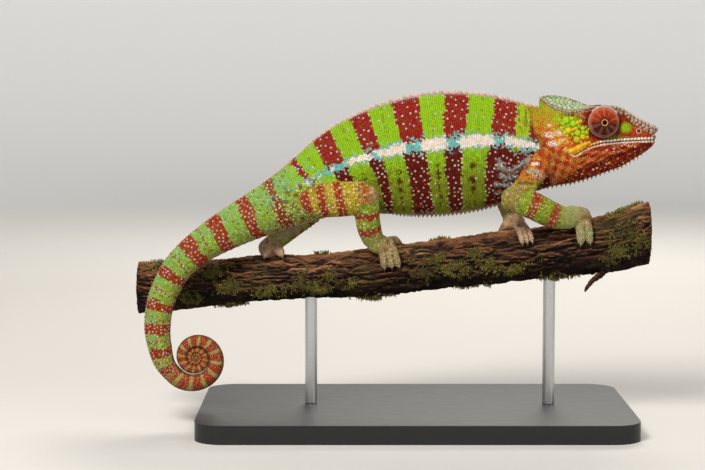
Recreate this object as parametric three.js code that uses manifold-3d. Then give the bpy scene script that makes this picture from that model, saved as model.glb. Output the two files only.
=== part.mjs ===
// Panther chameleon (Furcifer pardalis), an adult male walking along a cut length of branch,
// with the branch held on a plain display stand. Millimetres, +Z up. The animal faces +X and its
// right side faces -Y. The origin is the centre of the underside of the stand's base.

import * as THREE from 'three';
import * as BufferGeometryUtils from 'three/addons/utils/BufferGeometryUtils.js';
import Module from 'manifold-3d';

const wasm = await Module();
wasm.setup();

// ---- Driving dimensions ---------------------------------------------------------------------

const GAP = 0.3;                 // clearance between neighbouring pieces
const SLIVER = 0.07;             // details finer than this are left out of the meshes
const BASE_LENGTH = 210;         // stand base, along X
const BASE_DEPTH = 120;          // stand base, along Y
const BASE_THICK = 9;
const BASE_CORNER = 14;
const ROD_RADIUS = 3;
const ROD_STATIONS = [-51, 66];  // x of the rear and front rods

// Branch: x, y, z of the axis and its radius, from the cut end behind the tail to the front end.
const PERCH_STATIONS = [
  [-138, 22, 64.5, 12.2],
  [-111, 15, 66.6, 11.6],
  [-81, 7, 69.8, 10.8],
  [-56, 3, 71.6, 10.5],
  [-32, 0, 73.5, 11.2],
  [17, 0, 78.6, 12.0],
  [66, 0, 84.5, 12.5],
  [91, 0, 88.3, 13.5],
  [114, 0, 93.4, 15.2],
];

// Body: x, y, z of the middle of each section, half height along the back-to-belly direction and
// half width, from inside the neck to the start of the tail's coil.
const BODY_STATIONS = [
  [68.0, 0, 136.0, 18.5, 9.2],
  [58.3, 0, 135.0, 20.8, 9.8],
  [50.2, 0, 134.4, 23.2, 10.6],
  [40.9, 0, 133.9, 25.9, 11.8],
  [28.9, 0, 133.3, 28.3, 13.4],
  [16.4, 0, 132.5, 29.4, 14.8],
  [4.4, 0, 131.5, 29.2, 15.3],
  [-6.9, -0.4, 130.3, 27.9, 14.9],
  [-18.1, -0.9, 128.3, 25.9, 13.9],
  [-28.9, -1.4, 125.6, 23.5, 12.8],
  [-38.2, -1.9, 122.2, 20.9, 11.8],
  [-47.5, -2.4, 117.9, 17.8, 10.8],
  [-57.4, -3.0, 112.7, 15.0, 9.8],
  [-68.6, -4.0, 107.1, 12.8, 9.0],
  [-80.0, -5.5, 101.6, 11.1, 8.3],
  [-90.2, -7.3, 96.4, 9.9, 7.7],
  [-98.6, -9.0, 91.6, 8.9, 7.1],
  [-105.5, -10.5, 87.0, 8.1, 6.7],
  [-111.8, -11.5, 81.6, 7.6, 6.4],
  [-117.0, -12, 75.3, 7.2, 6.1],
  [-123.3, -12, 62.2, 6.8, 5.8],
  [-125.4, -12, 48.0, 6.4, 5.5],
  [-123.2, -12, 34.4, 5.5, 4.9],
  [-119.9, -12, 28.0, 4.7, 4.5],
];
const FIRST_TAIL_STATION = 12;

// Coil of the tail: an equiangular spiral in the XZ plane that winds inwards.
const COIL_CENTRE = new THREE.Vector3(-106.9, -12, 33.6);
const COIL_RADIUS = 16.3;        // outer edge at the lowest point of the coil
const COIL_SHRINK = 0.462;       // what one turn multiplies the radius by
const COIL_START = -0.1;         // turns from the lowest point
const COIL_TURNS = 2.75;
const COIL_GAP = 0.35;           // space left between neighbouring turns
const COIL_STATIONS_PER_TURN = 14;
const COIL_FLATNESS = 0.92;      // half width over half height

// Crests of cone-shaped spines: height and pitch on the back at the shoulders, and height and
// pitch along the belly and the throat.
const SPINE_HEIGHT = 2.6;
const SPINE_PITCH = 4.8;
const UNDER_SPINE_HEIGHT = 1.3;
const UNDER_SPINE_PITCH = 6.4;
const CREST_THICK = 1.3;

// Head sections, each a half outline: roof ridge, side crest, cheek, lip, jaw edge and throat.
const HEAD_STATIONS = [
  {
    x: 60.8, roof: 160.6, crest: [1.8, 159.8], cheek: [9.6, 141],
    lip: [9.8, 132], jaw: [8.0, 123], throat: 115.2,
  },
  {
    x: 67.0, roof: 160.9, crest: [7.6, 155.2], cheek: [11.0, 141],
    lip: [11.0, 132], jaw: [8.6, 123.5], throat: 116.4,
  },
  {
    x: 73.5, roof: 160.0, crest: [10.8, 153.4], cheek: [12.0, 142],
    lip: [11.6, 133], jaw: [8.6, 124.3], throat: 117.5,
  },
  {
    x: 80.2, roof: 157.5, crest: [11.2, 154.2], cheek: [12.0, 143],
    lip: [11.2, 134], jaw: [8.4, 125.5], throat: 118.8,
  },
  {
    x: 86.2, roof: 155.2, crest: [10.4, 156.0], cheek: [11.2, 144],
    lip: [10.4, 137], jaw: [8.0, 127.5], throat: 120.5,
  },
  {
    x: 91.6, roof: 154.3, crest: [9.6, 156.3], cheek: [10.4, 144],
    lip: [9.7, 138.2], jaw: [7.4, 129.3], throat: 122.5,
  },
  {
    x: 98.4, roof: 153.1, crest: [8.6, 154.9], cheek: [9.3, 145],
    lip: [8.6, 138.9], jaw: [6.6, 132.0], throat: 125.1,
  },
  {
    x: 105.0, roof: 149.8, crest: [6.9, 151.3], cheek: [7.6, 144.5],
    lip: [7.2, 139.3], jaw: [5.6, 134.4], throat: 128.7,
  },
  {
    x: 111.4, roof: 146.4, crest: [5.3, 147.6], cheek: [5.8, 143.2],
    lip: [5.7, 139.4], jaw: [4.5, 135.8], throat: 132.6,
  },
  {
    x: 115.2, roof: 145.0, crest: [4.1, 145.8], cheek: [4.2, 142.5],
    lip: [4.2, 139.5], jaw: [3.1, 137.0], throat: 135.4,
  },
  {
    x: 116.4, roof: 144.6, crest: [3.4, 145.3], cheek: [3.2, 142.6],
    lip: [2.9, 139.8], jaw: [2.0, 138.2], throat: 137.4,
  },
  {
    x: 117.7, roof: 144.4, crest: [2.2, 144.9], cheek: [2.2, 143.8],
    lip: [1.8, 143.2], jaw: [1.2, 142.9], throat: 142.6,
  },
];
// Mouth line from the throat side to the tip of the snout, x and z.
const MOUTH_LINE = [[79.5, 133.2], [86.7, 136.7], [92.6, 138.1], [99.5, 138.9], [112, 139.4], [122, 139.7]];

// Eye turrets and the small eyeball that shows at the tip of each.
const EYE_CENTRE = new THREE.Vector3(90.4, 8.9, 148.1);
const EYE_RADIUS = 8.0;
const EYE_DEPTH = 7.3;
const PUPIL_RADIUS = 2.3;

// Half thickness of the claws at the toe and at the tip.
const CLAW_ROOT = 0.8;
const CLAW_TIP = 0.3;

// Slanted parting planes of trunk, neck and head: x at two heights.
const NECK_REAR_CUT = { high: [52.6, 157], low: [64.0, 118] };
const NECK_FRONT_CUT = { high: [60.3, 157], low: [75.0, 118] };

const MATERIALS = {
  bodyGreen: { color: 0x6fae2c, roughness: 0.62, metalness: 0 },
  bodyRed: { color: 0x8c2a1e, roughness: 0.62, metalness: 0 },
  casqueTeal: { color: 0x5f9a86, roughness: 0.6, metalness: 0 },
  limbGreen: { color: 0x93a84a, roughness: 0.65, metalness: 0 },
  footTan: { color: 0xb3a878, roughness: 0.7, metalness: 0 },
  eyeRed: { color: 0xb4472c, roughness: 0.5, metalness: 0 },
  eyeball: { color: 0x160d08, roughness: 0.05, metalness: 0 },
  bark: { color: 0x4a382c, roughness: 0.95, metalness: 0 },
  standBase: { color: 0x1d1c1b, roughness: 0.4, metalness: 0 },
  standRod: { color: 0x8a8a88, roughness: 0.3, metalness: 1 },
};

// ---- Curves and lofts -----------------------------------------------------------------------

// Smooth curve through rows of numbers (Catmull-Rom over the row index), column by column.
function splineRow(rows, u) {
  const last = rows.length - 1;
  const index = Math.min(Math.max(Math.floor(u), 0), last - 1);
  const t = u - index;
  const at = (i) => {
    if (i < 0) return rows[0].map((value, k) => 2 * value - rows[1][k]);
    if (i > last) return rows[last].map((value, k) => 2 * value - rows[last - 1][k]);
    return rows[i];
  };
  const [a, b, c, d] = [at(index - 1), at(index), at(index + 1), at(index + 2)];
  return b.map((value, k) => {
    const slopeIn = (c[k] - a[k]) / 2;
    const slopeOut = (d[k] - b[k]) / 2;
    const cubic = 2 * value - 2 * c[k] + slopeIn + slopeOut;
    const square = -3 * value + 3 * c[k] - 2 * slopeIn - slopeOut;
    return ((cubic * t + square) * t + slopeIn) * t + value;
  });
}

// Frame of a curve: the tangent, the back direction in the plane of the coil, and the near side.
function frameAt(rows, u) {
  const step = 0.02;
  const before = new THREE.Vector3(...splineRow(rows, u - step));
  const after = new THREE.Vector3(...splineRow(rows, u + step));
  const tangent = after.sub(before).normalize();
  const back = new THREE.Vector3(tangent.z, 0, -tangent.x).normalize();
  const side = back.clone().cross(tangent).normalize();
  return { tangent, back, side };
}

// Closed solid through rings of equal length, with a fan at each end.
function loftRings(rings) {
  const count = rings[0].length;
  const positions = rings.flat().flatMap((point) => [point.x, point.y, point.z]);
  const index = [];
  for (let r = 0; r + 1 < rings.length; r += 1) {
    for (let k = 0; k < count; k += 1) {
      const next = (k + 1) % count;
      const [a, b] = [r * count + k, r * count + next];
      index.push(a, b, b + count, a, b + count, a + count);
    }
  }
  for (const [ring, first] of [[rings[0], 0], [rings[rings.length - 1], (rings.length - 1) * count]]) {
    const centre = ring.reduce((sum, point) => sum.add(point), new THREE.Vector3()).divideScalar(count);
    const hub = positions.length / 3;
    positions.push(centre.x, centre.y, centre.z);
    for (let k = 0; k < count; k += 1) {
      const next = (k + 1) % count;
      index.push(...(first === 0 ? [hub, first + next, first + k] : [hub, first + k, first + next]));
    }
  }
  const geometry = new THREE.BufferGeometry();
  geometry.setAttribute('position', new THREE.Float32BufferAttribute(positions, 3));
  geometry.setIndex(index);
  return geometry;
}

// Solid for cutting and joining; a geometry that is inside out is turned first.
function toSolid(geometry) {
  const bare = geometry.clone();
  bare.deleteAttribute('normal');
  bare.deleteAttribute('uv');
  const merged = BufferGeometryUtils.mergeVertices(bare, 1e-4);
  const triVerts = Uint32Array.from(merged.index.array);
  const vertProperties = Float32Array.from(merged.attributes.position.array);
  const solid = new wasm.Manifold(new wasm.Mesh({ numProp: 3, vertProperties, triVerts }));
  if (solid.volume() > 0) return solid;
  const turned = new Uint32Array(triVerts.length);
  for (let i = 0; i < triVerts.length; i += 3) {
    turned.set([triVerts[i], triVerts[i + 2], triVerts[i + 1]], i);
  }
  return new wasm.Manifold(new wasm.Mesh({ numProp: 3, vertProperties, triVerts: turned }));
}

// Geometry of a solid, without the slivers that cutting leaves.
function toGeometry(solid) {
  const mesh = solid.simplify(SLIVER).getMesh();
  const geometry = new THREE.BufferGeometry();
  geometry.setAttribute('position', new THREE.Float32BufferAttribute(mesh.vertProperties, 3));
  geometry.setIndex(Array.from(mesh.triVerts));
  geometry.computeVertexNormals();
  return geometry;
}

function joinAll(solids) {
  return solids.reduce((sum, solid) => sum.add(solid));
}

// The largest body of a cut, so that no sliver stays with it.
function largestBody(solid) {
  return solid.decompose().reduce((best, body) => (body.volume() > best.volume() ? body : best));
}

// Solid of a flat outline in the XZ plane, from y - thick / 2 to y + thick / 2.
function plateXZ(outline, y, thick) {
  const shape = new THREE.Shape(outline.map(([x, z]) => new THREE.Vector2(x, z)));
  const geometry = new THREE.ExtrudeGeometry(shape, { depth: thick, bevelEnabled: false });
  geometry.rotateX(Math.PI / 2);
  geometry.translate(0, y + thick / 2, 0);
  return toSolid(geometry);
}

// ---- Body: trunk, neck and tail -------------------------------------------------------------

// Coil stations in the same columns as the body's.
function coilStations(stepTurns) {
  const rows = [];
  for (let turns = COIL_START; turns <= COIL_TURNS + 1e-6; turns += stepTurns) {
    const angle = turns * 2 * Math.PI;
    const outer = COIL_RADIUS * COIL_SHRINK ** turns;
    const inner = outer * COIL_SHRINK + COIL_GAP * COIL_SHRINK ** turns;
    const middle = (outer + inner) / 2;
    const half = Math.max((outer - inner) / 2, 0.5);
    const x = COIL_CENTRE.x + middle * Math.sin(angle);
    const z = COIL_CENTRE.z - middle * Math.cos(angle);
    rows.push([x, COIL_CENTRE.y, z, half, half * COIL_FLATNESS]);
  }
  return rows;
}

const bodyRows = [...BODY_STATIONS, ...coilStations(1 / COIL_STATIONS_PER_TURN)];
const coilRow = BODY_STATIONS.length;

// Egg-shaped section: narrower towards the back, with the sides flattened a little.
function bodyRing(u, sides, grow) {
  const [x, y, z, halfHeight, halfWidth] = splineRow(bodyRows, u);
  const { back, side } = frameAt(bodyRows, u);
  const keel = u < FIRST_TAIL_STATION ? 0.2 : 0.1;
  const ring = [];
  for (let k = 0; k < sides; k += 1) {
    const angle = ((k + 0.5) / sides) * 2 * Math.PI;
    const rise = Math.sin(angle);
    const out = Math.cos(angle) * (1 - keel * rise);
    const point = new THREE.Vector3(x, y, z);
    point.addScaledVector(back, (halfHeight + grow) * rise);
    point.addScaledVector(side, (halfWidth + grow) * out);
    ring.push(point);
  }
  return ring;
}

function bodyLoft(from, to, ringCount, sides, grow = 0) {
  const rings = [];
  for (let i = 0; i <= ringCount; i += 1) {
    rings.push(bodyRing(from + ((to - from) * i) / ringCount, sides, grow));
  }
  return toSolid(loftRings(rings));
}

// Row of spines on the middle line of the body: a thin plate with a toothed edge that follows the
// line edgeAt(u, lift), where lift is the height over the skin.
function spineCrest({ edgeAt, from, to, heightAt, pitch }) {
  const rootDepth = -2.2;
  const teeth = [];
  let u = from;
  while (u < to) {
    const here = edgeAt(u, 0);
    const there = edgeAt(u + 0.1, 0);
    const unitsPerMm = 0.1 / Math.hypot(there[0] - here[0], there[1] - here[1]);
    teeth.push(edgeAt(u, -0.25), edgeAt(u + pitch * unitsPerMm * 0.68, heightAt(u)));
    u += pitch * unitsPerMm;
  }
  teeth.push(edgeAt(u, -0.25));
  const root = [];
  for (let v = u; v > from; v -= 0.7) {
    root.push(edgeAt(v, rootDepth));
  }
  root.push(edgeAt(from, rootDepth));
  return plateXZ([...teeth, ...root], 0, CREST_THICK);
}

// Back line (sign 1) or belly line (sign -1) of the body, as x and z.
function bodyEdge(sign) {
  return (u, lift) => {
    const [x, , z, halfHeight] = splineRow(bodyRows, u);
    const { back } = frameAt(bodyRows, u);
    const reach = sign * (halfHeight + lift);
    return [x + back.x * reach, z + back.z * reach];
  };
}

// Throat line of the head.
function throatEdge(u, lift) {
  const [x, z] = splineRow(HEAD_STATIONS.map((station) => [station.x, station.throat]), u);
  return [x, z - lift];
}

// Height of the back crest: short on the nape, full over the shoulders, low at the tail.
function backSpineHeight(u) {
  if (u < 3) return SPINE_HEIGHT * (0.55 + 0.15 * u);
  return Math.max(SPINE_HEIGHT * Math.min(1, 1 - (u - 7) * 0.11), 0.7);
}

// Half space behind (or ahead of) a slanted plane through two points of the XZ plane.
function halfSpace(cut, ahead, shift) {
  const [xHigh, zHigh] = cut.high;
  const [xLow, zLow] = cut.low;
  const slope = (xLow - xHigh) / (zLow - zHigh);
  const far = ahead ? 300 : -300;
  const xAt = (z) => xHigh + slope * (z - zHigh) + shift;
  return plateXZ([[xAt(0), 0], [far, 0], [far, 300], [xAt(300), 300]], 0, 200);
}

// ---- Head -----------------------------------------------------------------------------------

// One ring of the head: points from the roof ridge down one side to the throat and up the other.
function headRing(station, grow) {
  const { x, roof, crest, cheek, lip, jaw, throat } = station;
  const half = [
    [crest[0] * 0.5, roof * 0.62 + crest[1] * 0.38],
    crest,
    [(crest[0] + cheek[0] * 2) / 3, (crest[1] * 2 + cheek[1]) / 3],
    cheek,
    lip,
    jaw,
    [jaw[0] * 0.42, (jaw[1] + throat * 3) / 4],
  ];
  const spread = ([y, z]) => new THREE.Vector3(x, y + grow, z);
  const mirrored = ([y, z]) => new THREE.Vector3(x, -y - grow, z);
  return [
    new THREE.Vector3(x, 0, roof + grow),
    ...half.map(spread),
    new THREE.Vector3(x, 0, throat - grow),
    ...half.reverse().map(mirrored),
  ];
}

function headLoft() {
  return toSolid(loftRings(HEAD_STATIONS.map((station) => headRing(station, 0))));
}

// Prism under the mouth line, moved up or down by a shift.
function belowMouth(shift) {
  const line = MOUTH_LINE.map(([x, z]) => [x, z + shift]);
  const rear = MOUTH_LINE[0];
  return plateXZ([[60, 90], [130, 90], ...line.reverse(), [rear[0] - 12, rear[1] - 16 + shift]], 0, 80);
}

// Ellipsoid from a sphere geometry.
function ellipsoid(centre, radii, widthSegments, heightSegments) {
  const geometry = new THREE.SphereGeometry(1, widthSegments, heightSegments);
  geometry.rotateX(Math.PI / 2);
  geometry.scale(radii.x, radii.y, radii.z);
  geometry.translate(centre.x, centre.y, centre.z);
  return toSolid(geometry);
}

function eyePieces(sideSign) {
  const centre = EYE_CENTRE.clone();
  centre.y *= sideSign;
  const turret = (grow) => ellipsoid(
    centre,
    new THREE.Vector3(EYE_RADIUS + grow, EYE_DEPTH + grow, EYE_RADIUS + grow),
    12,
    7,
  );
  const ballCentre = centre.clone();
  ballCentre.y += sideSign * (EYE_DEPTH - PUPIL_RADIUS * 0.62);
  const ball = (grow) => {
    const radius = PUPIL_RADIUS + grow;
    return ellipsoid(ballCentre, new THREE.Vector3(radius, radius, radius), 8, 6);
  };
  return { turret: turret(0).subtract(ball(GAP)), ball: ball(0), socket: turret(GAP) };
}

// ---- Legs and feet --------------------------------------------------------------------------

// Rounded limb along stations of x, y, z, half thickness across the limb in its own bending
// plane, and half thickness towards the side.
function limb(stations, { rings = 5, sides = 7, grow = 0, capRings = 1 } = {}) {
  const last = stations.length - 1;
  const loft = [];
  const addRing = (u, scale, slide) => {
    const [x, y, z, deep, wide] = splineRow(stations, u);
    const before = new THREE.Vector3(...splineRow(stations, Math.max(u - 0.05, 0)));
    const after = new THREE.Vector3(...splineRow(stations, Math.min(u + 0.05, last)));
    const tangent = after.sub(before).normalize();
    const side = new THREE.Vector3(0, 1, 0).addScaledVector(tangent, -tangent.y).normalize();
    const across = side.clone().cross(tangent);
    const centre = new THREE.Vector3(x, y, z);
    centre.addScaledVector(tangent, slide * (Math.min(deep, wide) + grow));
    const ring = [];
    for (let k = 0; k < sides; k += 1) {
      const angle = (k / sides) * 2 * Math.PI;
      const point = centre.clone();
      point.addScaledVector(across, (deep + grow) * scale * Math.cos(angle));
      point.addScaledVector(side, (wide + grow) * scale * Math.sin(angle));
      ring.push(point);
    }
    loft.push(ring);
  };
  for (let i = capRings; i > 0; i -= 1) {
    const turn = (i / (capRings + 0.35)) * (Math.PI / 2);
    addRing(0, Math.cos(turn), -Math.sin(turn));
  }
  for (let i = 0; i <= rings; i += 1) {
    addRing((last * i) / rings, 1, 0);
  }
  for (let i = 1; i <= capRings; i += 1) {
    const turn = (i / (capRings + 0.35)) * (Math.PI / 2);
    addRing(last, Math.cos(turn), Math.sin(turn));
  }
  return toSolid(loftRings(loft));
}

// Gently uneven round of the branch, as a factor on its radius.
function unevenness(x, angle) {
  return 1 + 0.035 * Math.sin(3 * angle + x * 0.06) + 0.025 * Math.sin(2 * angle - x * 0.11);
}

// Point on or over the branch at x: angle from the top towards the near side (-Y), and height
// over the bark.
function overPerch(x, angle, height) {
  const axis = splineRow(PERCH_STATIONS, perchParameter(x));
  const radius = axis[3] * unevenness(x, angle) + height;
  return [x, axis[1] - radius * Math.sin(angle), axis[2] + radius * Math.cos(angle)];
}

function perchParameter(x) {
  let low = 0;
  let high = PERCH_STATIONS.length - 1;
  for (let i = 0; i < 30; i += 1) {
    const middle = (low + high) / 2;
    if (splineRow(PERCH_STATIONS, middle)[0] < x) low = middle;
    else high = middle;
  }
  return low;
}

// Bundle of toes that grips the branch: the toes lie side by side, fused for most of their
// length, and each narrows to a claw that follows the bark.
function toeBundle({ x, spread, toes, from, to, thick, lean = 0 }) {
  const solids = [];
  for (let i = 0; i < toes; i += 1) {
    const place = i / (toes - 1) - 0.5;
    const row = (along, size, over) => {
      const angle = from + (to - from) * along + Math.sign(to - from) * over;
      const toeX = x + place * spread * (0.55 + 0.45 * along) + lean * along;
      return [...overPerch(toeX, angle, size + GAP), size, size];
    };
    const rows = [
      row(0, thick, 0),
      row(0.5, thick * 0.88, 0),
      row(1, thick * 0.66, 0),
      row(1, CLAW_ROOT, 0.12),
      row(1, CLAW_TIP, 0.28),
    ];
    solids.push(limb(rows, { rings: 4, sides: 6, capRings: 0 }));
  }
  return joinAll(solids);
}

// Each leg: stations of the upper and lower part and the palm, then the two bundles of toes.
const LEGS = [
  {
    name: 'right_foreleg',
    upper: [[62.2, -7.5, 131, 6.0, 4.4], [56.6, -11.5, 122, 5.6, 4.6], [47.6, -16, 111.6, 5.2, 4.6]],
    lower: [
      [45.8, -16.5, 111.6, 6.2, 5.0], [55.4, -16.5, 108.6, 6.8, 5.4],
      [65.6, -14.5, 103.6, 6.5, 5.2], [74, -11, 101.4, 5.2, 4.8],
    ],
    palm: [[75.5, -9.5, 103.2, 4.8, 4.8], [80.5, -6.5, 102.4, 4.8, 5.6]],
    bundles: [
      { name: 'outer_toes', x: 81.0, spread: 4.4, toes: 2, from: 0.3, to: 1.3, thick: 2.8, lean: 0.8 },
      { name: 'inner_toes', x: 82.6, spread: 4.8, toes: 3, from: -0.1, to: -1.35, thick: 2.3, lean: 4.0 },
    ],
  },
  {
    name: 'left_foreleg',
    upper: [[60.5, 7.5, 128, 5.6, 4.2], [54.5, 13, 121, 5.3, 4.4], [46, 18, 113.5, 4.8, 4.4]],
    lower: [[44.5, 18, 112.5, 5.0, 4.6], [45.5, 14, 108, 4.8, 4.6], [47.0, 8, 102.8, 4.4, 4.4]],
    palm: [[47.5, 5.5, 100.2, 4.4, 4.2], [50.0, 2.5, 98.8, 4.4, 4.4]],
    bundles: [
      { name: 'inner_toes', x: 51.5, spread: 4.6, toes: 3, from: 0.05, to: 0.98, thick: 2.1, lean: 2.4 },
      { name: 'outer_toes', x: 46.0, spread: 4.0, toes: 2, from: -0.2, to: -1.3, thick: 2.5, lean: -2.5 },
    ],
  },
  {
    name: 'right_hind_leg',
    upper: [
      [-52, -7.5, 110.8, 8.4, 5.4], [-42, -13, 111.0, 8.8, 6.0],
      [-31, -18, 111.8, 8.4, 5.8], [-25.2, -19.5, 113.0, 7.3, 5.2],
    ],
    lower: [
      [-24.4, -19.5, 113.4, 6.6, 5.0], [-23.9, -18, 107, 6.2, 4.8],
      [-22.7, -15, 98, 6.0, 4.6], [-20.8, -11.5, 91.8, 5.4, 4.4],
    ],
    palm: [[-19.2, -10.2, 89.8, 5.2, 4.6], [-14.4, -8.0, 87.4, 5.0, 5.2]],
    bundles: [
      { name: 'outer_toes', x: -14.6, spread: 6.8, toes: 3, from: 0.38, to: 1.3, thick: 2.5, lean: 2.8 },
      { name: 'inner_toes', x: -11.0, spread: 4.0, toes: 2, from: -0.1, to: -1.3, thick: 2.5, lean: 4.0 },
    ],
  },
  {
    name: 'left_hind_leg',
    upper: [[-53, 5.5, 109, 7.4, 5.0], [-52, 14, 104.6, 7.0, 5.4], [-52, 21, 101, 6.2, 5.0]],
    lower: [[-53.5, 22, 100, 5.6, 4.8], [-60, 18, 95.6, 5.6, 4.7], [-68, 12, 89.8, 5.4, 4.5]],
    palm: [[-69.5, 9.5, 87.2, 5.4, 4.3], [-72.5, 6.5, 84.8, 5.4, 4.4]],
    bundles: [
      { name: 'inner_toes', x: -70.0, spread: 8.0, toes: 2, from: -0.1, to: 0.3, thick: 2.9, lean: 0.5 },
      { name: 'outer_toes', x: -71.0, spread: 5.0, toes: 3, from: -0.15, to: -1.3, thick: 2.2, lean: -1.5 },
    ],
  },
];

// ---- Perch and stand ------------------------------------------------------------------------

const PERCH_RINGS = 20;
const PERCH_SIDES = 11;

// Branch with a gently uneven round, cut square at both ends.
function perchSolid(grow) {
  const rings = [];
  for (let i = 0; i <= PERCH_RINGS; i += 1) {
    const [x, y, z, radius] = splineRow(PERCH_STATIONS, ((PERCH_STATIONS.length - 1) * i) / PERCH_RINGS);
    const ring = [];
    for (let k = 0; k < PERCH_SIDES; k += 1) {
      const angle = (k / PERCH_SIDES) * 2 * Math.PI;
      const reach = radius * unevenness(x, angle) + grow;
      ring.push(new THREE.Vector3(x, y - reach * Math.sin(angle), z + reach * Math.cos(angle)));
    }
    rings.push(ring);
  }
  return toSolid(loftRings(rings));
}

function baseGeometry() {
  const [halfLength, halfDepth] = [BASE_LENGTH / 2, BASE_DEPTH / 2];
  const shape = new THREE.Shape();
  const corners = [[1, -1, -90], [1, 1, 0], [-1, 1, 90], [-1, -1, 180]];
  for (const [signX, signY, start] of corners) {
    const centreX = signX * (halfLength - BASE_CORNER);
    const centreY = signY * (halfDepth - BASE_CORNER);
    const from = THREE.MathUtils.degToRad(start);
    shape.absarc(centreX, centreY, BASE_CORNER, from, from + Math.PI / 2, false);
  }
  return new THREE.ExtrudeGeometry(shape, { depth: BASE_THICK, bevelEnabled: false, curveSegments: 4 });
}

function rodSolid(x) {
  const axis = splineRow(PERCH_STATIONS, perchParameter(x));
  const bottom = BASE_THICK + GAP;
  const geometry = new THREE.CylinderGeometry(ROD_RADIUS, ROD_RADIUS, axis[2] - bottom, 20);
  geometry.rotateX(Math.PI / 2);
  geometry.translate(x, axis[1], (axis[2] + bottom) / 2);
  return largestBody(toSolid(geometry).subtract(perchSolid(GAP)));
}

// ---- Assembly -------------------------------------------------------------------------------

const model = new THREE.Group();

function addPiece(name, geometry, material) {
  const mesh = new THREE.Mesh(geometry, new THREE.MeshStandardMaterial(MATERIALS[material]));
  mesh.name = name;
  model.add(mesh);
}

const perch = perchSolid(0);
const perchClearance = perchSolid(GAP);

// Trunk with its crest, parted from the neck by a slanted plane and from the tail by a section.
const TRUNK_END = FIRST_TAIL_STATION - 0.03;
const backCrest = spineCrest({
  edgeAt: bodyEdge(1),
  from: 0.9,
  to: FIRST_TAIL_STATION - 0.2,
  heightAt: backSpineHeight,
  pitch: SPINE_PITCH,
});
const bellyCrest = spineCrest({
  edgeAt: bodyEdge(-1),
  from: 2.5,
  to: 9.5,
  heightAt: () => UNDER_SPINE_HEIGHT,
  pitch: UNDER_SPINE_PITCH,
});
const throatCrest = spineCrest({
  edgeAt: throatEdge,
  from: 0,
  to: 8,
  heightAt: () => UNDER_SPINE_HEIGHT,
  pitch: UNDER_SPINE_PITCH,
});
const trunkWhole = bodyLoft(0, TRUNK_END, 18, 16).add(backCrest).add(bellyCrest);
const eyes = { right: eyePieces(-1), left: eyePieces(1) };

const neckFromBody = trunkWhole.intersect(halfSpace(NECK_REAR_CUT, true, GAP / 2));
const headWhole = headLoft().add(throatCrest);
const neckFromHead = headWhole.intersect(halfSpace(NECK_FRONT_CUT, false, -GAP / 2));
const bodyBehindHead = neckFromBody.intersect(halfSpace(NECK_FRONT_CUT, false, -GAP / 2));
const headBehindCut = neckFromHead.intersect(halfSpace(NECK_REAR_CUT, true, GAP / 2));
const neck = largestBody(bodyBehindHead.add(headBehindCut));
const trunk = largestBody(trunkWhole.intersect(halfSpace(NECK_REAR_CUT, false, -GAP / 2)));

// Head, parted along the mouth; the casque is the roof behind the eyes.
const CASQUE_FLOOR = 154.9;
const CASQUE_FRONT = 87.2;
const headAhead = headWhole
  .add(bodyLoft(0, 1, 2, 18))
  .intersect(halfSpace(NECK_FRONT_CUT, true, GAP / 2))
  .subtract(eyes.right.socket)
  .subtract(eyes.left.socket);
const casqueBlock = (shift) => plateXZ([
  [50, CASQUE_FLOOR + shift],
  [CASQUE_FRONT - shift, CASQUE_FLOOR + shift],
  [CASQUE_FRONT - shift, 200],
  [50, 200],
], 0, 80);
const casque = largestBody(headAhead.intersect(casqueBlock(GAP / 2)));
const headBelow = headAhead.subtract(casqueBlock(-GAP / 2));
const lowerJaw = largestBody(headBelow.intersect(belowMouth(-GAP / 2)));
const head = largestBody(headBelow.subtract(belowMouth(GAP / 2)));

addPiece('head', toGeometry(head), 'bodyRed');
addPiece('casque', toGeometry(casque), 'casqueTeal');
addPiece('lower_jaw', toGeometry(lowerJaw), 'bodyRed');
for (const [side, eye] of Object.entries(eyes)) {
  addPiece(`eye_turret_${side}`, toGeometry(largestBody(eye.turret)), 'eyeRed');
  addPiece(`eyeball_${side}`, toGeometry(eye.ball), 'eyeball');
}
addPiece('neck', toGeometry(neck), 'bodyRed');
addPiece('trunk', toGeometry(trunk), 'bodyGreen');

// Tail in five lengths, the last two of them the coil.
const TAIL_LENGTHS = [
  { name: 'tail_base', from: FIRST_TAIL_STATION, to: 15, rings: 6, sides: 14 },
  { name: 'tail_middle', from: 15, to: 19, rings: 7, sides: 14 },
  { name: 'tail_bend', from: 19, to: coilRow, rings: 9, sides: 14 },
  { name: 'tail_coil_outer', from: coilRow, to: coilRow + 14.5, rings: 19, sides: 9 },
  { name: 'tail_coil_inner', from: coilRow + 14.5, to: bodyRows.length - 1, rings: 25, sides: 7 },
];
for (const { name, from, to, rings, sides } of TAIL_LENGTHS) {
  addPiece(name, toGeometry(bodyLoft(from + 0.03, to, rings, sides)), 'bodyGreen');
}

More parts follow.
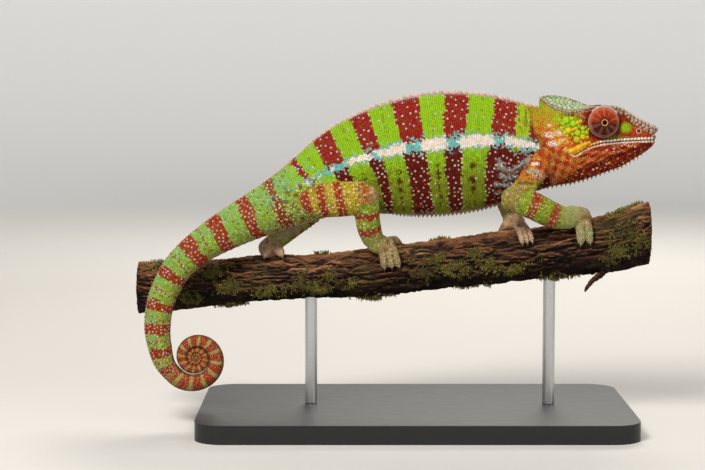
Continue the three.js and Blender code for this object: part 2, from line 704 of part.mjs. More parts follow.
// Legs: each piece is cut back by the ones it grows from, so that they meet without overlap.
const bodyClearance = bodyLoft(0, TRUNK_END, 18, 16, GAP)
  .add(bodyLoft(FIRST_TAIL_STATION - 0.1, 15, 6, 14, GAP))
  .add(headLoft());
for (const leg of LEGS) {
  const upper = largestBody(limb(leg.upper).subtract(bodyClearance));
  const lower = largestBody(limb(leg.lower)
    .subtract(bodyClearance)
    .subtract(limb(leg.upper, { grow: GAP })));
  const palm = largestBody(limb(leg.palm, { rings: 3 })
    .subtract(perchClearance)
    .subtract(limb(leg.lower, { grow: GAP })));
  addPiece(`${leg.name}_upper`, toGeometry(upper), 'limbGreen');
  addPiece(`${leg.name}_lower`, toGeometry(lower), 'limbGreen');
  addPiece(`${leg.name}_palm`, toGeometry(palm), 'footTan');
  const palmClearance = limb(leg.palm, { rings: 3, grow: GAP }).add(limb(leg.lower, { grow: GAP }));
  let others = palmClearance.add(perchClearance);
  for (const bundle of leg.bundles) {
    const whole = toeBundle(bundle);
    const toes = largestBody(whole.subtract(others));
    addPiece(`${leg.name}_${bundle.name}`, toGeometry(toes), 'footTan');
    others = others.add(toes);
  }
}

addPiece('perch', toGeometry(perch), 'bark');
addPiece('stand_base', baseGeometry(), 'standBase');
addPiece('stand_rod_rear', toGeometry(rodSolid(ROD_STATIONS[0])), 'standRod');
addPiece('stand_rod_front', toGeometry(rodSolid(ROD_STATIONS[1])), 'standRod');

export default model;
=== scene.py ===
"""An adult male panther chameleon on a cut branch, on a plain stand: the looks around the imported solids."""

import math

import bmesh
import bpy
import numpy as np
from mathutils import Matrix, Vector, noise
from mathutils.bvhtree import BVHTree


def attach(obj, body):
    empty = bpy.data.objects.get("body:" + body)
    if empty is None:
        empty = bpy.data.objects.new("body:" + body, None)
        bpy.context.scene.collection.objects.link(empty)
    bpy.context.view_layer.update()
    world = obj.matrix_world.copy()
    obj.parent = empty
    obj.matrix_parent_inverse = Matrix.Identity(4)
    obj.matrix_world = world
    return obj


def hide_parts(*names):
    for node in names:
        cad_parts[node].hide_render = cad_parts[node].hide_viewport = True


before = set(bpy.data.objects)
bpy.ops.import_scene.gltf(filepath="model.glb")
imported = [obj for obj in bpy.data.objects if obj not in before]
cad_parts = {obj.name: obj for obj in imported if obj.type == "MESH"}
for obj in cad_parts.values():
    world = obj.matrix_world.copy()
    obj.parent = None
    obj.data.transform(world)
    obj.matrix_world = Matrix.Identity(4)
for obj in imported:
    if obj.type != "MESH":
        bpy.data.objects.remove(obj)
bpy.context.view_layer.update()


# ---- Trunk, neck and tail -----------------------------------------------------------------------
# The animal's body, of flesh and bone: a narrow, deep trunk, a thick neck, and a gripping tail that
# hangs in an open bend and ends in a coil. It has grown in one piece, so it is one run of oval
# sections. Each station gives the middle, half the height and half the width, in millimetres.

BODY = [
    [68.0, 0, 136.0, 18.5, 9.2], [58.3, 0, 135.0, 20.8, 9.8], [50.2, 0, 134.4, 23.2, 10.6],
    [40.9, 0, 133.9, 25.9, 11.8], [28.9, 0, 133.3, 28.3, 13.4], [16.4, 0, 132.5, 29.4, 14.8],
    [4.4, 0, 131.5, 29.2, 15.3], [-6.9, -0.4, 130.3, 27.9, 14.9], [-18.1, -0.9, 128.3, 25.9, 13.9],
    [-28.9, -1.4, 125.6, 23.5, 12.8], [-38.2, -1.9, 122.2, 20.9, 11.8],
    [-47.5, -2.4, 117.9, 17.8, 10.8], [-57.4, -3.0, 112.7, 15.0, 9.8], [-68.6, -4.0, 107.1, 12.8, 9.0],
    [-80.0, -5.5, 101.6, 11.1, 8.3], [-90.2, -7.3, 96.4, 9.9, 7.7], [-98.6, -9.0, 91.6, 8.9, 7.1],
    [-105.5, -10.5, 87.0, 8.1, 6.7], [-111.8, -11.5, 81.6, 7.6, 6.4], [-117.0, -12, 75.3, 7.2, 6.1],
    [-123.3, -12, 62.2, 6.8, 5.8], [-125.4, -12, 48.0, 6.4, 5.5], [-123.2, -12, 34.4, 5.5, 4.9],
    [-119.9, -12, 28.0, 4.7, 4.5],
]
TAIL_FROM = 12
COIL = {"centre": (-106.9, -12, 33.6), "radius": 16.3, "shrink": 0.462, "start": -0.1, "turns": 4.3,
        "gap": 0.35, "flat": 0.92, "per_turn": 14}


def coil_rows():
    """Stations of the coil: each turn is smaller than the last by the same share and lies inside it."""
    rows = []
    steps = int(round((COIL["turns"] - COIL["start"]) * COIL["per_turn"]))
    for i in range(steps + 1):
        turns = COIL["start"] + i / COIL["per_turn"]
        angle = turns * 2 * math.pi
        shrunk = COIL["shrink"] ** turns
        outer = COIL["radius"] * shrunk
        inner = outer * COIL["shrink"] + COIL["gap"] * shrunk
        half = max((outer - inner) / 2, 0.36)
        middle = (outer + inner) / 2
        cx, cy, cz = COIL["centre"]
        x, z = cx + middle * math.sin(angle), cz - middle * math.cos(angle)
        rows.append([x, cy, z, half, half * COIL["flat"]])
    return rows


BODY_ROWS = np.array(BODY + coil_rows())
COIL_ROW = len(BODY)
BODY_END = len(BODY_ROWS) - 1


def spline(rows, u):
    """Catmull-Rom over the row index, for an array of parameters u."""
    rows = np.asarray(rows, float)
    u = np.atleast_1d(np.asarray(u, float))
    padded = np.vstack([2 * rows[0] - rows[1], rows, 2 * rows[-1] - rows[-2]])
    i = np.clip(np.floor(u).astype(int), 0, len(rows) - 2)
    t = (u - i)[:, None]
    a, b, c, d = (padded[i + k] for k in range(4))
    slope_in, slope_out = (c - a) / 2, (d - b) / 2
    cubic = 2 * b - 2 * c + slope_in + slope_out
    square = -3 * b + 3 * c - 2 * slope_in - slope_out
    return ((cubic * t + square) * t + slope_in) * t + b


def unit(v):
    return v / np.maximum(np.linalg.norm(v, axis=-1, keepdims=True), 1e-9)


def smooth(low, high, value):
    t = np.clip((value - low) / (high - low), 0, 1)
    return t * t * (3 - 2 * t)


def body_frame(u):
    """Middle, half sizes and directions (back, side, along) of the body's sections at u."""
    rows = spline(BODY_ROWS, u)
    ahead, behind = spline(BODY_ROWS, np.asarray(u) + 0.02), spline(BODY_ROWS, np.asarray(u) - 0.02)
    tangent = unit(ahead[:, :3] - behind[:, :3])
    back = unit(np.stack([tangent[:, 2], np.zeros(len(tangent)), -tangent[:, 0]], -1))
    side = unit(np.cross(back, tangent))
    return rows[:, :3], rows[:, 3], rows[:, 4], back, side, tangent


def grid_faces(rows, columns):
    """Quads of a grid of points, row by row; the columns close on themselves."""
    r, c = np.meshgrid(np.arange(rows - 1), np.arange(columns), indexing="ij")
    a, b = r * columns + c, r * columns + (c + 1) % columns
    return np.stack([a, b, b + columns, a + columns], -1).reshape(-1, 4)


def tube_faces(rows, columns):
    """Quads of a closed tube, with a fan of triangles to a hub point at each end."""
    faces = grid_faces(rows, columns).tolist()
    first_hub, last_hub, last = rows * columns, rows * columns + 1, (rows - 1) * columns
    for k in range(columns):
        n = (k + 1) % columns
        faces.append([first_hub, n, k])
        faces.append([last_hub, last + k, last + n])
    return faces


def with_hubs(rings):
    return np.vstack([rings.reshape(-1, 3), rings[0].mean(0), rings[-1].mean(0)])


def body_mesh(shrink, first, last, rows, columns):
    u = np.linspace(first, last, rows)
    centre, height, width, back, side, _ = body_frame(u)
    angle = np.linspace(0, 2 * math.pi, columns, endpoint=False)
    rise = np.sin(angle)[None, :, None]
    keel = np.where(u < TAIL_FROM, 0.2, 0.1)[:, None, None]
    out = np.cos(angle)[None, :, None] * (1 - keel * rise)
    touch = smooth(COIL_ROW + 1, COIL_ROW + 5, u)[:, None, None]   # the coil's turns lie on each other
    rings = centre[:, None] + back[:, None] * (height[:, None, None] - shrink * (1 - 1.5 * touch)) * rise
    rings = rings + side[:, None] * (width[:, None, None] - shrink) * out
    return with_hubs(rings), tube_faces(len(u), len(angle))


# ---- Head ---------------------------------------------------------------------------------------
# A bony head with a high casque behind the eyes, flat cheeks, a blunt snout and a closed mouth, fixed
# to the end of the neck. Each section is a closed outline from the roof over crest, cheek and lip to
# the throat.

HEAD = [
    # x, roof, crest half width, crest, cheek half width, cheek, lip half width, lip,
    # jaw half width, jaw, throat
    [60.8, 160.6, 1.8, 159.8, 9.6, 141, 9.8, 132, 8.0, 123, 115.2],
    [67.0, 160.9, 7.6, 155.2, 11.0, 141, 11.0, 132, 8.6, 123.5, 116.4],
    [73.5, 160.0, 10.8, 153.4, 12.0, 142, 11.6, 133, 8.6, 124.3, 117.5],
    [80.2, 157.5, 11.2, 154.2, 12.0, 143, 11.2, 134, 8.4, 125.5, 118.8],
    [86.2, 155.2, 10.4, 156.0, 11.2, 144, 10.4, 137, 8.0, 127.5, 120.5],
    [91.6, 154.3, 9.6, 156.3, 10.4, 144, 9.7, 138.2, 7.4, 129.3, 122.5],
    [98.4, 153.1, 8.6, 154.9, 9.3, 145, 8.6, 138.9, 6.6, 132.0, 125.1],
    [105.0, 149.8, 6.9, 151.3, 7.6, 144.5, 7.2, 139.3, 5.6, 134.4, 128.7],
    [111.4, 146.4, 5.3, 147.6, 5.8, 143.2, 5.7, 139.4, 4.5, 135.8, 132.6],
    [115.2, 145.0, 4.1, 145.8, 4.2, 142.5, 4.2, 139.5, 3.1, 137.0, 135.4],
    [116.4, 144.6, 3.4, 145.3, 3.2, 142.6, 2.9, 139.8, 2.0, 138.2, 137.4],
    [117.7, 144.4, 2.2, 144.9, 2.2, 143.8, 1.8, 143.2, 1.2, 142.9, 142.6],
]


def head_outline(row, shrink):
    """Closed outline of one head section, from the roof ridge down the near side and back up."""
    x, roof, crest_w, crest, cheek_w, cheek, lip_w, lip, jaw_w, jaw, throat = row
    half = np.array([
        [0, roof], [crest_w * 0.5, roof * 0.62 + crest * 0.38], [crest_w, crest],
        [(crest_w + cheek_w * 2) / 3, (crest * 2 + cheek) / 3], [cheek_w, cheek], [lip_w, lip],
        [jaw_w, jaw], [jaw_w * 0.42, (jaw + throat * 3) / 4], [0, throat],
    ])
    middle = np.array([0, (roof + throat) / 2])
    half = half - unit(half - middle) * shrink
    curve = spline(half, np.linspace(0, 8, 33))
    curve[:, 0] = np.maximum(curve[:, 0], 0)
    near = np.stack([np.full(33, x), -curve[:, 0], curve[:, 1]], -1)
    far = np.stack([np.full(31, x), curve[-2:0:-1, 0], curve[-2:0:-1, 1]], -1)
    return np.vstack([near, far])


def head_mesh(shrink):
    rows = spline(HEAD, np.linspace(0, len(HEAD) - 1, 150))
    rings = np.array([head_outline(row, shrink) for row in rows])
    return with_hubs(rings), tube_faces(len(rows), rings.shape[1])


# ---- Legs and toes ------------------------------------------------------------------------------
# Four thin limbs of bone and muscle, jointed at the sides of the body. Each foot is split into two
# bundles of toes that have grown together, two and three, and these grip the branch like tongs. The
# line of the branch is here too, because the toes are bent round it.

LEGS = {
    "right_foreleg": {
        "upper": [[62.2, -7.5, 131, 6.0, 4.4], [56.6, -11.5, 122, 5.6, 4.6], [47.6, -16, 111.6, 5.2, 4.6]],
        "lower": [[45.8, -16.5, 111.6, 6.2, 5.0], [55.4, -16.5, 108.6, 6.8, 5.4],
                  [65.6, -14.5, 103.6, 6.5, 5.2], [74, -11, 101.4, 5.2, 4.8]],
        "palm": [[75.5, -9.5, 103.2, 4.8, 4.8], [80.5, -6.5, 102.4, 4.8, 5.6]],
        "toes": [dict(x=81.0, spread=4.4, toes=2, start=0.3, end=1.3, thick=2.8, lean=0.8),
                 dict(x=82.6, spread=4.8, toes=3, start=-0.1, end=-1.35, thick=2.3, lean=4.0)],
    },
    "left_foreleg": {
        "upper": [[60.5, 7.5, 128, 5.6, 4.2], [54.5, 13, 121, 5.3, 4.4], [46, 18, 113.5, 4.8, 4.4]],
        "lower": [[44.5, 18, 112.5, 5.0, 4.6], [45.5, 14, 108, 4.8, 4.6], [47.0, 8, 102.8, 4.4, 4.4]],
        "palm": [[47.5, 5.5, 100.2, 4.4, 4.2], [50.0, 2.5, 98.8, 4.4, 4.4]],
        "toes": [dict(x=51.5, spread=4.6, toes=3, start=0.05, end=0.98, thick=2.1, lean=2.4),
                 dict(x=46.0, spread=4.0, toes=2, start=-0.2, end=-1.3, thick=2.5, lean=-2.5)],
    },
    "right_hind_leg": {
        "upper": [[-52, -7.5, 110.8, 8.4, 5.4], [-42, -13, 111.0, 8.8, 6.0],
                  [-31, -18, 111.8, 8.4, 5.8], [-25.2, -19.5, 113.0, 7.3, 5.2]],
        "lower": [[-24.4, -19.5, 113.4, 6.6, 5.0], [-23.9, -18, 107, 6.2, 4.8],
                  [-22.7, -15, 98, 6.0, 4.6], [-20.8, -11.5, 91.8, 5.4, 4.4]],
        "palm": [[-19.2, -10.2, 89.8, 5.2, 4.6], [-14.4, -8.0, 87.4, 5.0, 5.2]],
        "toes": [dict(x=-14.6, spread=6.8, toes=3, start=0.38, end=1.3, thick=2.5, lean=2.8),
                 dict(x=-11.0, spread=4.0, toes=2, start=-0.1, end=-1.3, thick=2.5, lean=4.0)],
    },
    "left_hind_leg": {
        "upper": [[-53, 5.5, 109, 7.4, 5.0], [-52, 14, 104.6, 7.0, 5.4], [-52, 21, 101, 6.2, 5.0]],
        "lower": [[-53.5, 22, 100, 5.6, 4.8], [-60, 18, 95.6, 5.6, 4.7], [-68, 12, 89.8, 5.4, 4.5]],
        "palm": [[-69.5, 9.5, 87.2, 5.4, 4.3], [-72.5, 6.5, 84.8, 5.4, 4.4]],
        "toes": [dict(x=-70.0, spread=8.0, toes=2, start=-0.1, end=0.3, thick=2.9, lean=0.5),
                 dict(x=-71.0, spread=5.0, toes=3, start=-0.15, end=-1.3, thick=2.2, lean=-1.5)],
    },
}


def limb_mesh(stations, shrink, rings=26, sides=24, caps=6):
    """Rounded limb along its stations, with a dome at each end."""
    last = len(stations) - 1
    u = np.linspace(0, last, rings)
    turn = np.linspace(math.pi / 2 * 0.97, 0, caps + 1)[:-1]
    places = np.concatenate([np.zeros(caps), u, np.full(caps, float(last))])
    scale = np.concatenate([np.cos(turn), np.ones(rings), np.cos(turn[::-1])])
    slide = np.concatenate([-np.sin(turn), np.zeros(rings), np.sin(turn[::-1])])
    rows = spline(stations, places)
    step = 0.05
    ahead = spline(stations, np.minimum(places + step, last))[:, :3]
    behind = spline(stations, np.maximum(places - step, 0))[:, :3]
    tangent = unit(ahead - behind)
    side = unit(np.array([0, 1, 0]) - tangent * tangent[:, 1:2])
    across = np.cross(side, tangent)
    deep, wide = rows[:, 3] - shrink, rows[:, 4] - shrink
    centre = rows[:, :3] + tangent * (slide * np.minimum(deep, wide))[:, None]
    angle = np.linspace(0, 2 * math.pi, sides, endpoint=False)
    cosine, sine = np.cos(angle)[None, :, None], np.sin(angle)[None, :, None]
    out = centre[:, None] + across[:, None] * (deep * scale)[:, None, None] * cosine
    out = out + side[:, None] * (wide * scale)[:, None, None] * sine
    return with_hubs(out), tube_faces(len(places), sides)


PERCH = [
    [-138, 22, 64.5, 12.2], [-111, 15, 66.6, 11.6], [-81, 7, 69.8, 10.8], [-56, 3, 71.6, 10.5],
    [-32, 0, 73.5, 11.2], [17, 0, 78.6, 12.0], [66, 0, 84.5, 12.5], [91, 0, 88.3, 13.5],
    [114, 0, 93.4, 15.2],
]


def perch_axis(x):
    """Middle and radius of the branch at x."""
    u = np.linspace(0, len(PERCH) - 1, 400)
    rows = spline(PERCH, u)
    return np.stack([np.interp(x, rows[:, 0], rows[:, k]) for k in range(4)], -1)


def unevenness(x, angle):
    return 1 + 0.035 * np.sin(3 * angle + x * 0.06) + 0.025 * np.sin(2 * angle - x * 0.11)


def over_perch(x, angle, height):
    axis = perch_axis(x)
    radius = axis[3] * unevenness(x, angle) + height
    return [x, axis[1] - radius * math.sin(angle), axis[2] + radius * math.cos(angle)]


def toe_rows(x, spread, toes, start, end, thick, lean, index):
    """Stations of one toe from the palm to the claw's root."""
    place = index / (toes - 1) - 0.5
    rows = []
    for along, size in ((0, thick), (0.5, thick * 0.88), (0.85, thick * 0.76), (1, thick * 0.62)):
        angle = start + (end - start) * along
        toe_x = x + place * spread * (0.55 + 0.45 * along) + lean * along
        rows.append([*over_perch(toe_x, angle, size + 0.15), size, size])
    return rows


# ---- Skin: the surface --------------------------------------------------------------------------
# Soft, loose skin that covers trunk, head, legs and toes without a seam. The parts are melted into
# one closed surface, which lies inside the solids by the depth of the scales. The coil of the tail is
# too fine for that and is a tube of its own.

COAT = 0.28   # the scales' depth: the skin lies this far inside the solids
MM = 0.001


def new_object(name, verts_mm, faces):
    """Mesh object in metres from points in millimetres. Faces are an (n, 3) array or a list."""
    mesh = bpy.data.meshes.new(name)
    verts = np.asarray(verts_mm, np.float32) * MM
    if isinstance(faces, np.ndarray):
        sides = faces.shape[1]
        mesh.vertices.add(len(verts))
        mesh.vertices.foreach_set("co", verts.ravel())
        mesh.loops.add(faces.size)
        mesh.loops.foreach_set("vertex_index", faces.ravel().astype(np.int32))
        mesh.polygons.add(len(faces))
        mesh.polygons.foreach_set("loop_start", np.arange(0, faces.size, sides, dtype=np.int32))
        mesh.update(calc_edges=True)
    else:
        mesh.from_pydata(verts.tolist(), [], faces)
    mesh.polygons.foreach_set("use_smooth", np.full(len(mesh.polygons), True))
    obj = bpy.data.objects.new(name, mesh)
    bpy.context.scene.collection.objects.link(obj)
    return obj


TIP_FROM = 21.0   # from this station on the tail is too finely coiled for the grid, and is its own tube
parts = [body_mesh(COAT, 0, TIP_FROM + 0.6, 420, 48), head_mesh(COAT)]
for leg in LEGS.values():
    parts += [limb_mesh(leg["upper"], COAT), limb_mesh(leg["lower"], COAT), limb_mesh(leg["palm"], COAT)]
    for bundle in leg["toes"]:
        for index in range(bundle["toes"]):
            parts.append(limb_mesh(toe_rows(**bundle, index=index), COAT * 0.6, rings=18, sides=16, caps=4))

verts, faces, offset = [], [], 0
for part_verts, part_faces in parts:
    verts.append(part_verts)
    faces += [[i + offset for i in face] for face in part_faces]
    offset += len(part_verts)
skin = new_object("skin", np.vstack(verts), faces)

remesh = skin.modifiers.new("one_surface", "REMESH")
remesh.mode = "VOXEL"
remesh.voxel_size = 0.68 * MM
remesh.use_smooth_shade = True
relax = skin.modifiers.new("soften", "SMOOTH")
relax.factor = 0.5
relax.iterations = 5
bpy.context.view_layer.update()
evaluated = skin.evaluated_get(bpy.context.evaluated_depsgraph_get())
finished = bpy.data.meshes.new_from_object(evaluated)
skin.modifiers.clear()
skin.data = finished

tip_verts, tip_faces = body_mesh(COAT - 0.05, TIP_FROM, BODY_END, 560, 32)
tip = new_object("tail_tip", tip_verts, tip_faces)
joined = bmesh.new()
joined.from_mesh(skin.data)
joined.from_mesh(tip.data)
joined.to_mesh(skin.data)
joined.free()
bpy.data.objects.remove(tip)
print("skin", len(skin.data.vertices), len(skin.data.polygons))


# ---- Skin: places on it -------------------------------------------------------------------------
# Scales, folds and colours of the skin change from the trunk to the tail, the head, the legs and the
# toes. This finds where each spot of the skin lies: how far along the body, how high up its side, or
# how far down a leg.

def distances_along(points):
    """Distance of each point of a line from the line's start."""
    return np.concatenate([[0], np.cumsum(np.linalg.norm(np.diff(points, axis=0), axis=1))])


def at_distances(wanted, distances, points):
    """Points at the wanted distances along a line."""
    return np.stack([np.interp(wanted, distances, points[:, k]) for k in range(points.shape[1])], -1)


AXIS_STEPS = 1600
AXIS_U = np.linspace(0, BODY_END, AXIS_STEPS)
AXIS_POINTS, AXIS_HEIGHT, AXIS_WIDTH, AXIS_BACK, AXIS_SIDE, AXIS_ALONG = body_frame(AXIS_U)
AXIS_LENGTH = distances_along(AXIS_POINTS)
AXIS_LENGTH -= np.interp(TAIL_FROM, AXIS_U, AXIS_LENGTH)


def leg_axis(leg):
    """Points along one leg, each with its mean radius and its place: 0 hip, 1 knee, 2 foot, 3 toe tips."""
    rows = []
    for number, part in enumerate(("upper", "lower", "palm")):
        stations = leg[part]
        for t in np.linspace(0, 1, 26):
            row = spline(stations, t * (len(stations) - 1))[0]
            rows.append([*row[:3], (row[3] + row[4]) / 2, number + t * (1 if part != "palm" else 0.6)])
    for bundle in leg["toes"]:
        for index in range(bundle["toes"]):
            stations = toe_rows(**bundle, index=index)
            for t in np.linspace(0, 1, 10):
                row = spline(stations, t * 3)[0]
                rows.append([*row[:3], row[3], 2.6 + 0.9 * t])
    return np.array(rows)


LEG_AXES = {name: leg_axis(leg) for name, leg in LEGS.items()}
TOE_LINES = [[spline(toe_rows(**bundle, index=index), np.linspace(0, 3, 24))
              for index in range(bundle["toes"])]
             for leg in LEGS.values() for bundle in leg["toes"]]


def toe_gap(points):
    """1 in the groove between two toes that grow together, 0 elsewhere."""
    gap = np.zeros(len(points))
    for toes in TOE_LINES:
        rows = np.vstack(toes)[:, :3]
        near = np.nonzero(((points > rows.min(0) - 4) & (points < rows.max(0) + 4)).all(1))[0]
        if not len(near):
            continue
        reach = np.stack([np.linalg.norm(points[near, None] - toe[None, :, :3], axis=-1).min(1)
                          for toe in toes], -1)
        reach.sort(1)
        middle_toe = toes[len(toes) // 2][:, :3]
        along = np.linalg.norm(points[near, None] - middle_toe[None], axis=-1).argmin(1) / len(middle_toe)
        gap[near] = np.maximum(gap[near], np.exp(-((reach[:, 1] - reach[:, 0]) / 0.36) ** 2)
                               * smooth(0.15, 0.55, along))
    return gap


def locate(points):
    """Body coordinates of each point: station u, height v from belly -1 to back 1, side w, length s
    along the tail from the hips, and for the legs a weight and a place."""
    nearest = np.zeros(len(points), int)
    for start in range(0, len(points), 4000):
        block = points[start:start + 4000, None, [0, 2]] - AXIS_POINTS[None, ::2, [0, 2]]
        nearest[start:start + 4000] = (block ** 2).sum(-1).argmin(1) * 2
    offset = points - AXIS_POINTS[nearest]
    v = (offset * AXIS_BACK[nearest]).sum(1) / AXIS_HEIGHT[nearest]
    w = (offset * AXIS_SIDE[nearest]).sum(1) / AXIS_WIDTH[nearest]
    body_norm = np.hypot(v, w)
    head_rows = np.array(HEAD)
    x = np.clip(points[:, 0], head_rows[0, 0], head_rows[-1, 0])
    half = np.interp(x, head_rows[:, 0], np.maximum(head_rows[:, 4], head_rows[:, 6]))
    in_head = (points[:, 0] > 60) & (np.abs(points[:, 1]) < half + 1.2) & (points[:, 2] > 112)
    body_norm = np.where(in_head, np.minimum(body_norm, 1.0), body_norm)
    leg_norm, leg_place, leg_out = np.full(len(points), 9.0), np.zeros(len(points)), np.zeros(len(points))
    leg_number = np.zeros(len(points), int)
    for number, axis in enumerate(LEG_AXES.values()):
        low, high = axis[:, :3].min(0) - 12, axis[:, :3].max(0) + 12
        near = np.nonzero(((points > low) & (points < high)).all(1))[0]
        distance = np.linalg.norm(points[near, None] - axis[None, :, :3], axis=-1) / axis[None, :, 3]
        best = distance.argmin(1)
        norm = distance[np.arange(len(near)), best]
        closer = norm < leg_norm[near]
        leg_norm[near[closer]] = norm[closer]
        leg_place[near[closer]] = axis[best[closer], 4]
        leg_number[near[closer]] = number
        out = np.sign(axis[:, 1].mean()) * (points[near, 1] - axis[best, 1]) / axis[best, 3]
        leg_out[near[closer]] = out[closer]
    return {
        "u": AXIS_U[nearest], "v": v, "w": w, "s": AXIS_LENGTH[nearest], "thick": AXIS_HEIGHT[nearest],
        "along": AXIS_ALONG[nearest], "leg": smooth(-0.12, 0.12, body_norm - leg_norm),
        "leg_place": leg_place, "leg_number": leg_number, "leg_out": leg_out, "gap": toe_gap(points),
        "head": smooth(58.5, 61.5, points[:, 0] + (points[:, 2] - 138) * 0.33),
    }


# ---- Markings -----------------------------------------------------------------------------------
# Pigment cells in the skin and its scales make the display colours of a male: red between green
# bands, a pale stripe, pale dots, a red coil, banded legs and an orange jaw. Here each spot has a
# share of each of twelve named colours, worked out from where it lies on the body.

COLOURS = ["lime", "olive", "red", "maroon", "orange", "yellow", "white", "turquoise", "tan", "teal",
           "pearl", "dark"]

# Green bands of the trunk, from the neck to the hips: middle x and half width at four heights, which
# are the belly, the flank, the stripe and the back.
BAND_HEIGHTS = [-1.0, -0.3, 0.25, 1.0]
GREEN_BANDS = [
    [(48.0, -3.0), (48.5, -3.0), (51.0, 3.2), (53.4, 3.8)],
    [(28.7, 5.3), (27.4, 5.7), (29.7, 6.3), (32.6, 6.2)],
    [(13.2, 3.5), (10.3, 4.0), (8.6, 4.2), (7.7, 6.6)],
    [(-5.4, 4.6), (-8.3, 5.0), (-12.3, 5.1), (-17.5, 5.9)],
    [(-19.0, 5.0), (-23.6, 5.3), (-29.6, 4.7), (-36.8, 5.0)],
    [(-35.0, 5.0), (-40.0, 5.0), (-46.8, 4.2), (-54.3, 4.3)],
    [(-49.0, 4.5), (-52.0, 4.3), (-57.5, 3.9), (-65.0, 3.6)],
]
# Red bands of the tail: distance along the tail from the hips, and half width.
TAIL_BANDS = [(10.5, 2.3), (25.5, 3.0), (41.8, 3.4), (57.4, 3.6), (73.4, 2.5), (89.3, 2.7), (100.5, 2.7),
              (112.3, 2.2), (121.3, 2.1)]
COIL_BANDS_PER_TURN = 12
# Dark spots down the middle of three green bands: x, z and radius.
GREEN_BAND_SPOTS = [
    (27.4, 127.2, 1.5), (27.3, 120.4, 1.9), (27.8, 116.2, 1.4), (10.6, 127.3, 0.9), (11.0, 124.2, 1.2),
    (11.0, 121.4, 1.0), (11.7, 117.0, 1.1), (12.3, 112.5, 0.9), (-8.0, 124.2, 1.1), (-7.7, 120.0, 1.3),
    (-7.2, 115.5, 1.1), (-7.1, 112.0, 0.9),
]
# Pale folds of skin behind the shoulder and the elbow of each foreleg, as lines of x, z with a width.
GREY_FOLDS = [
    ([(40.4, 127.0), (43.3, 124.8), (46.7, 124.4), (50.6, 127.1), (54.5, 130.2)], 1.1),
    ([(41.0, 122.3), (44.7, 120.3), (48.2, 121.2)], 0.9),
    ([(38.4, 118.3), (43.8, 117.0), (48.0, 118.0)], 0.7), ([(38.5, 114.0), (44.0, 113.6)], 0.6),
    ([(48.2, 132.4), (52.0, 133.9), (56.5, 134.3)], 0.45), ([(40.2, 130.2), (41.5, 127.5)], 0.7),
]
# Stripe of the flank: x and half its width there.
STRIPE = [(-56, 0.5), (-35, 1.0), (-20, 1.7), (-8, 2.2), (8, 2.8), (28, 2.7), (40, 2.2), (52, 1.8), (63, 0.5)]


def trunk_bands(points, place, dice):
    """Distance outside the nearest green band, negative inside it, and distance from its middle line."""
    x, z = points[:, 0], points[:, 2]
    wobble = 0.5 * np.sin(z * 0.9 + x * 0.3) * np.sin(z * 0.37 - x * 0.8) + (dice[:, 2] - 0.5) * 0.6
    edge, middle = np.full(len(points), 99.0), np.full(len(points), 99.0)
    for band in GREEN_BANDS:
        centre = np.interp(place["v"], BAND_HEIGHTS, [c for c, _ in band])
        half = np.interp(place["v"], BAND_HEIGHTS, [h for _, h in band])
        gap = np.abs(x - centre + wobble) - half
        middle = np.where(gap < edge, np.abs(x - centre), middle)
        edge = np.minimum(edge, gap)
    return edge, middle


def tail_red(points, place, dice):
    """How much of a red band each point of the tail has, and how far it is in the coil."""
    s = place["s"]
    red = np.zeros(len(points))
    shifted = s + (dice[:, 2] - 0.5) * 0.5 + 0.4 * np.sin(place["v"] * 4)
    for centre, half in TAIL_BANDS:
        red = np.maximum(red, smooth(0.4, -0.3, np.abs(shifted - centre) - half))
    for (a, _), (b, _) in zip(TAIL_BANDS[2:], TAIL_BANDS[3:]):
        line = np.abs(shifted - (a + b) / 2 - 0.4) + 0.5 * np.sin(place["v"] * 9 + a) ** 2
        red = np.maximum(red, 0.8 * smooth(0.9, 0.3, line))
    coil_start = AXIS_LENGTH[np.searchsorted(AXIS_U, COIL_ROW)]
    in_coil = smooth(-9, -2, s - coil_start)
    angle = np.arctan2(points[:, 0] - COIL["centre"][0], COIL["centre"][2] - points[:, 2])
    phase = np.mod(angle / (2 * math.pi) * COIL_BANDS_PER_TURN + 0.35, 1)
    coil_red = smooth(0.40, 0.32, np.abs(phase - 0.5) + 0.05 * (dice[:, 2] - 0.5))
    return red * (1 - in_coil) + coil_red * in_coil, in_coil


def line_distance(points, line):
    """Distance in the side view from each point to a line of (x, z) points, and the place along it."""
    best, place = np.full(len(points), 1e9), np.zeros(len(points))
    flat = points[:, [0, 2]]
    for number, (a, b) in enumerate(zip(line, line[1:])):
        a, b = np.array(a), np.array(b)
        t = np.clip(((flat - a) @ (b - a)) / ((b - a) @ (b - a)), 0, 1)
        distance = np.linalg.norm(flat - a - t[:, None] * (b - a), axis=1)
        place = np.where(distance < best, (number + t) / (len(line) - 1), place)
        best = np.minimum(best, distance)
    return best, place


def blob(x, z, at_x, at_z, radius_x, radius_z, soft=0.35):
    reach = np.hypot((x - at_x) / radius_x, (z - at_z) / radius_z)
    return smooth(1 + soft, 1 - soft, reach)


def throat_fold(x):
    """Height of the fold between the lower jaw and the throat."""
    return np.interp(x, [62, 75, 82, 91.5, 101, 113], [114.5, 122.5, 125.0, 128.8, 133.0, 137.6])


def crest_line(x):
    return np.interp(x, [row[0] for row in HEAD], [row[3] for row in HEAD])


MOUTH = [[79.5, 133.2], [86.7, 136.7], [92.6, 138.1], [99.5, 138.9], [112, 139.4], [122, 139.7]]


def mouth_line(x):
    return np.interp(x, [p[0] for p in MOUTH], [p[1] for p in MOUTH])


rng = np.random.default_rng(7)
# Steps from a cell of a grid to itself and to the cells round it.
NEIGHBOURS = [(dx, dy, dz) for dx in (-1, 0, 1) for dy in (-1, 0, 1) for dz in (-1, 0, 1)]


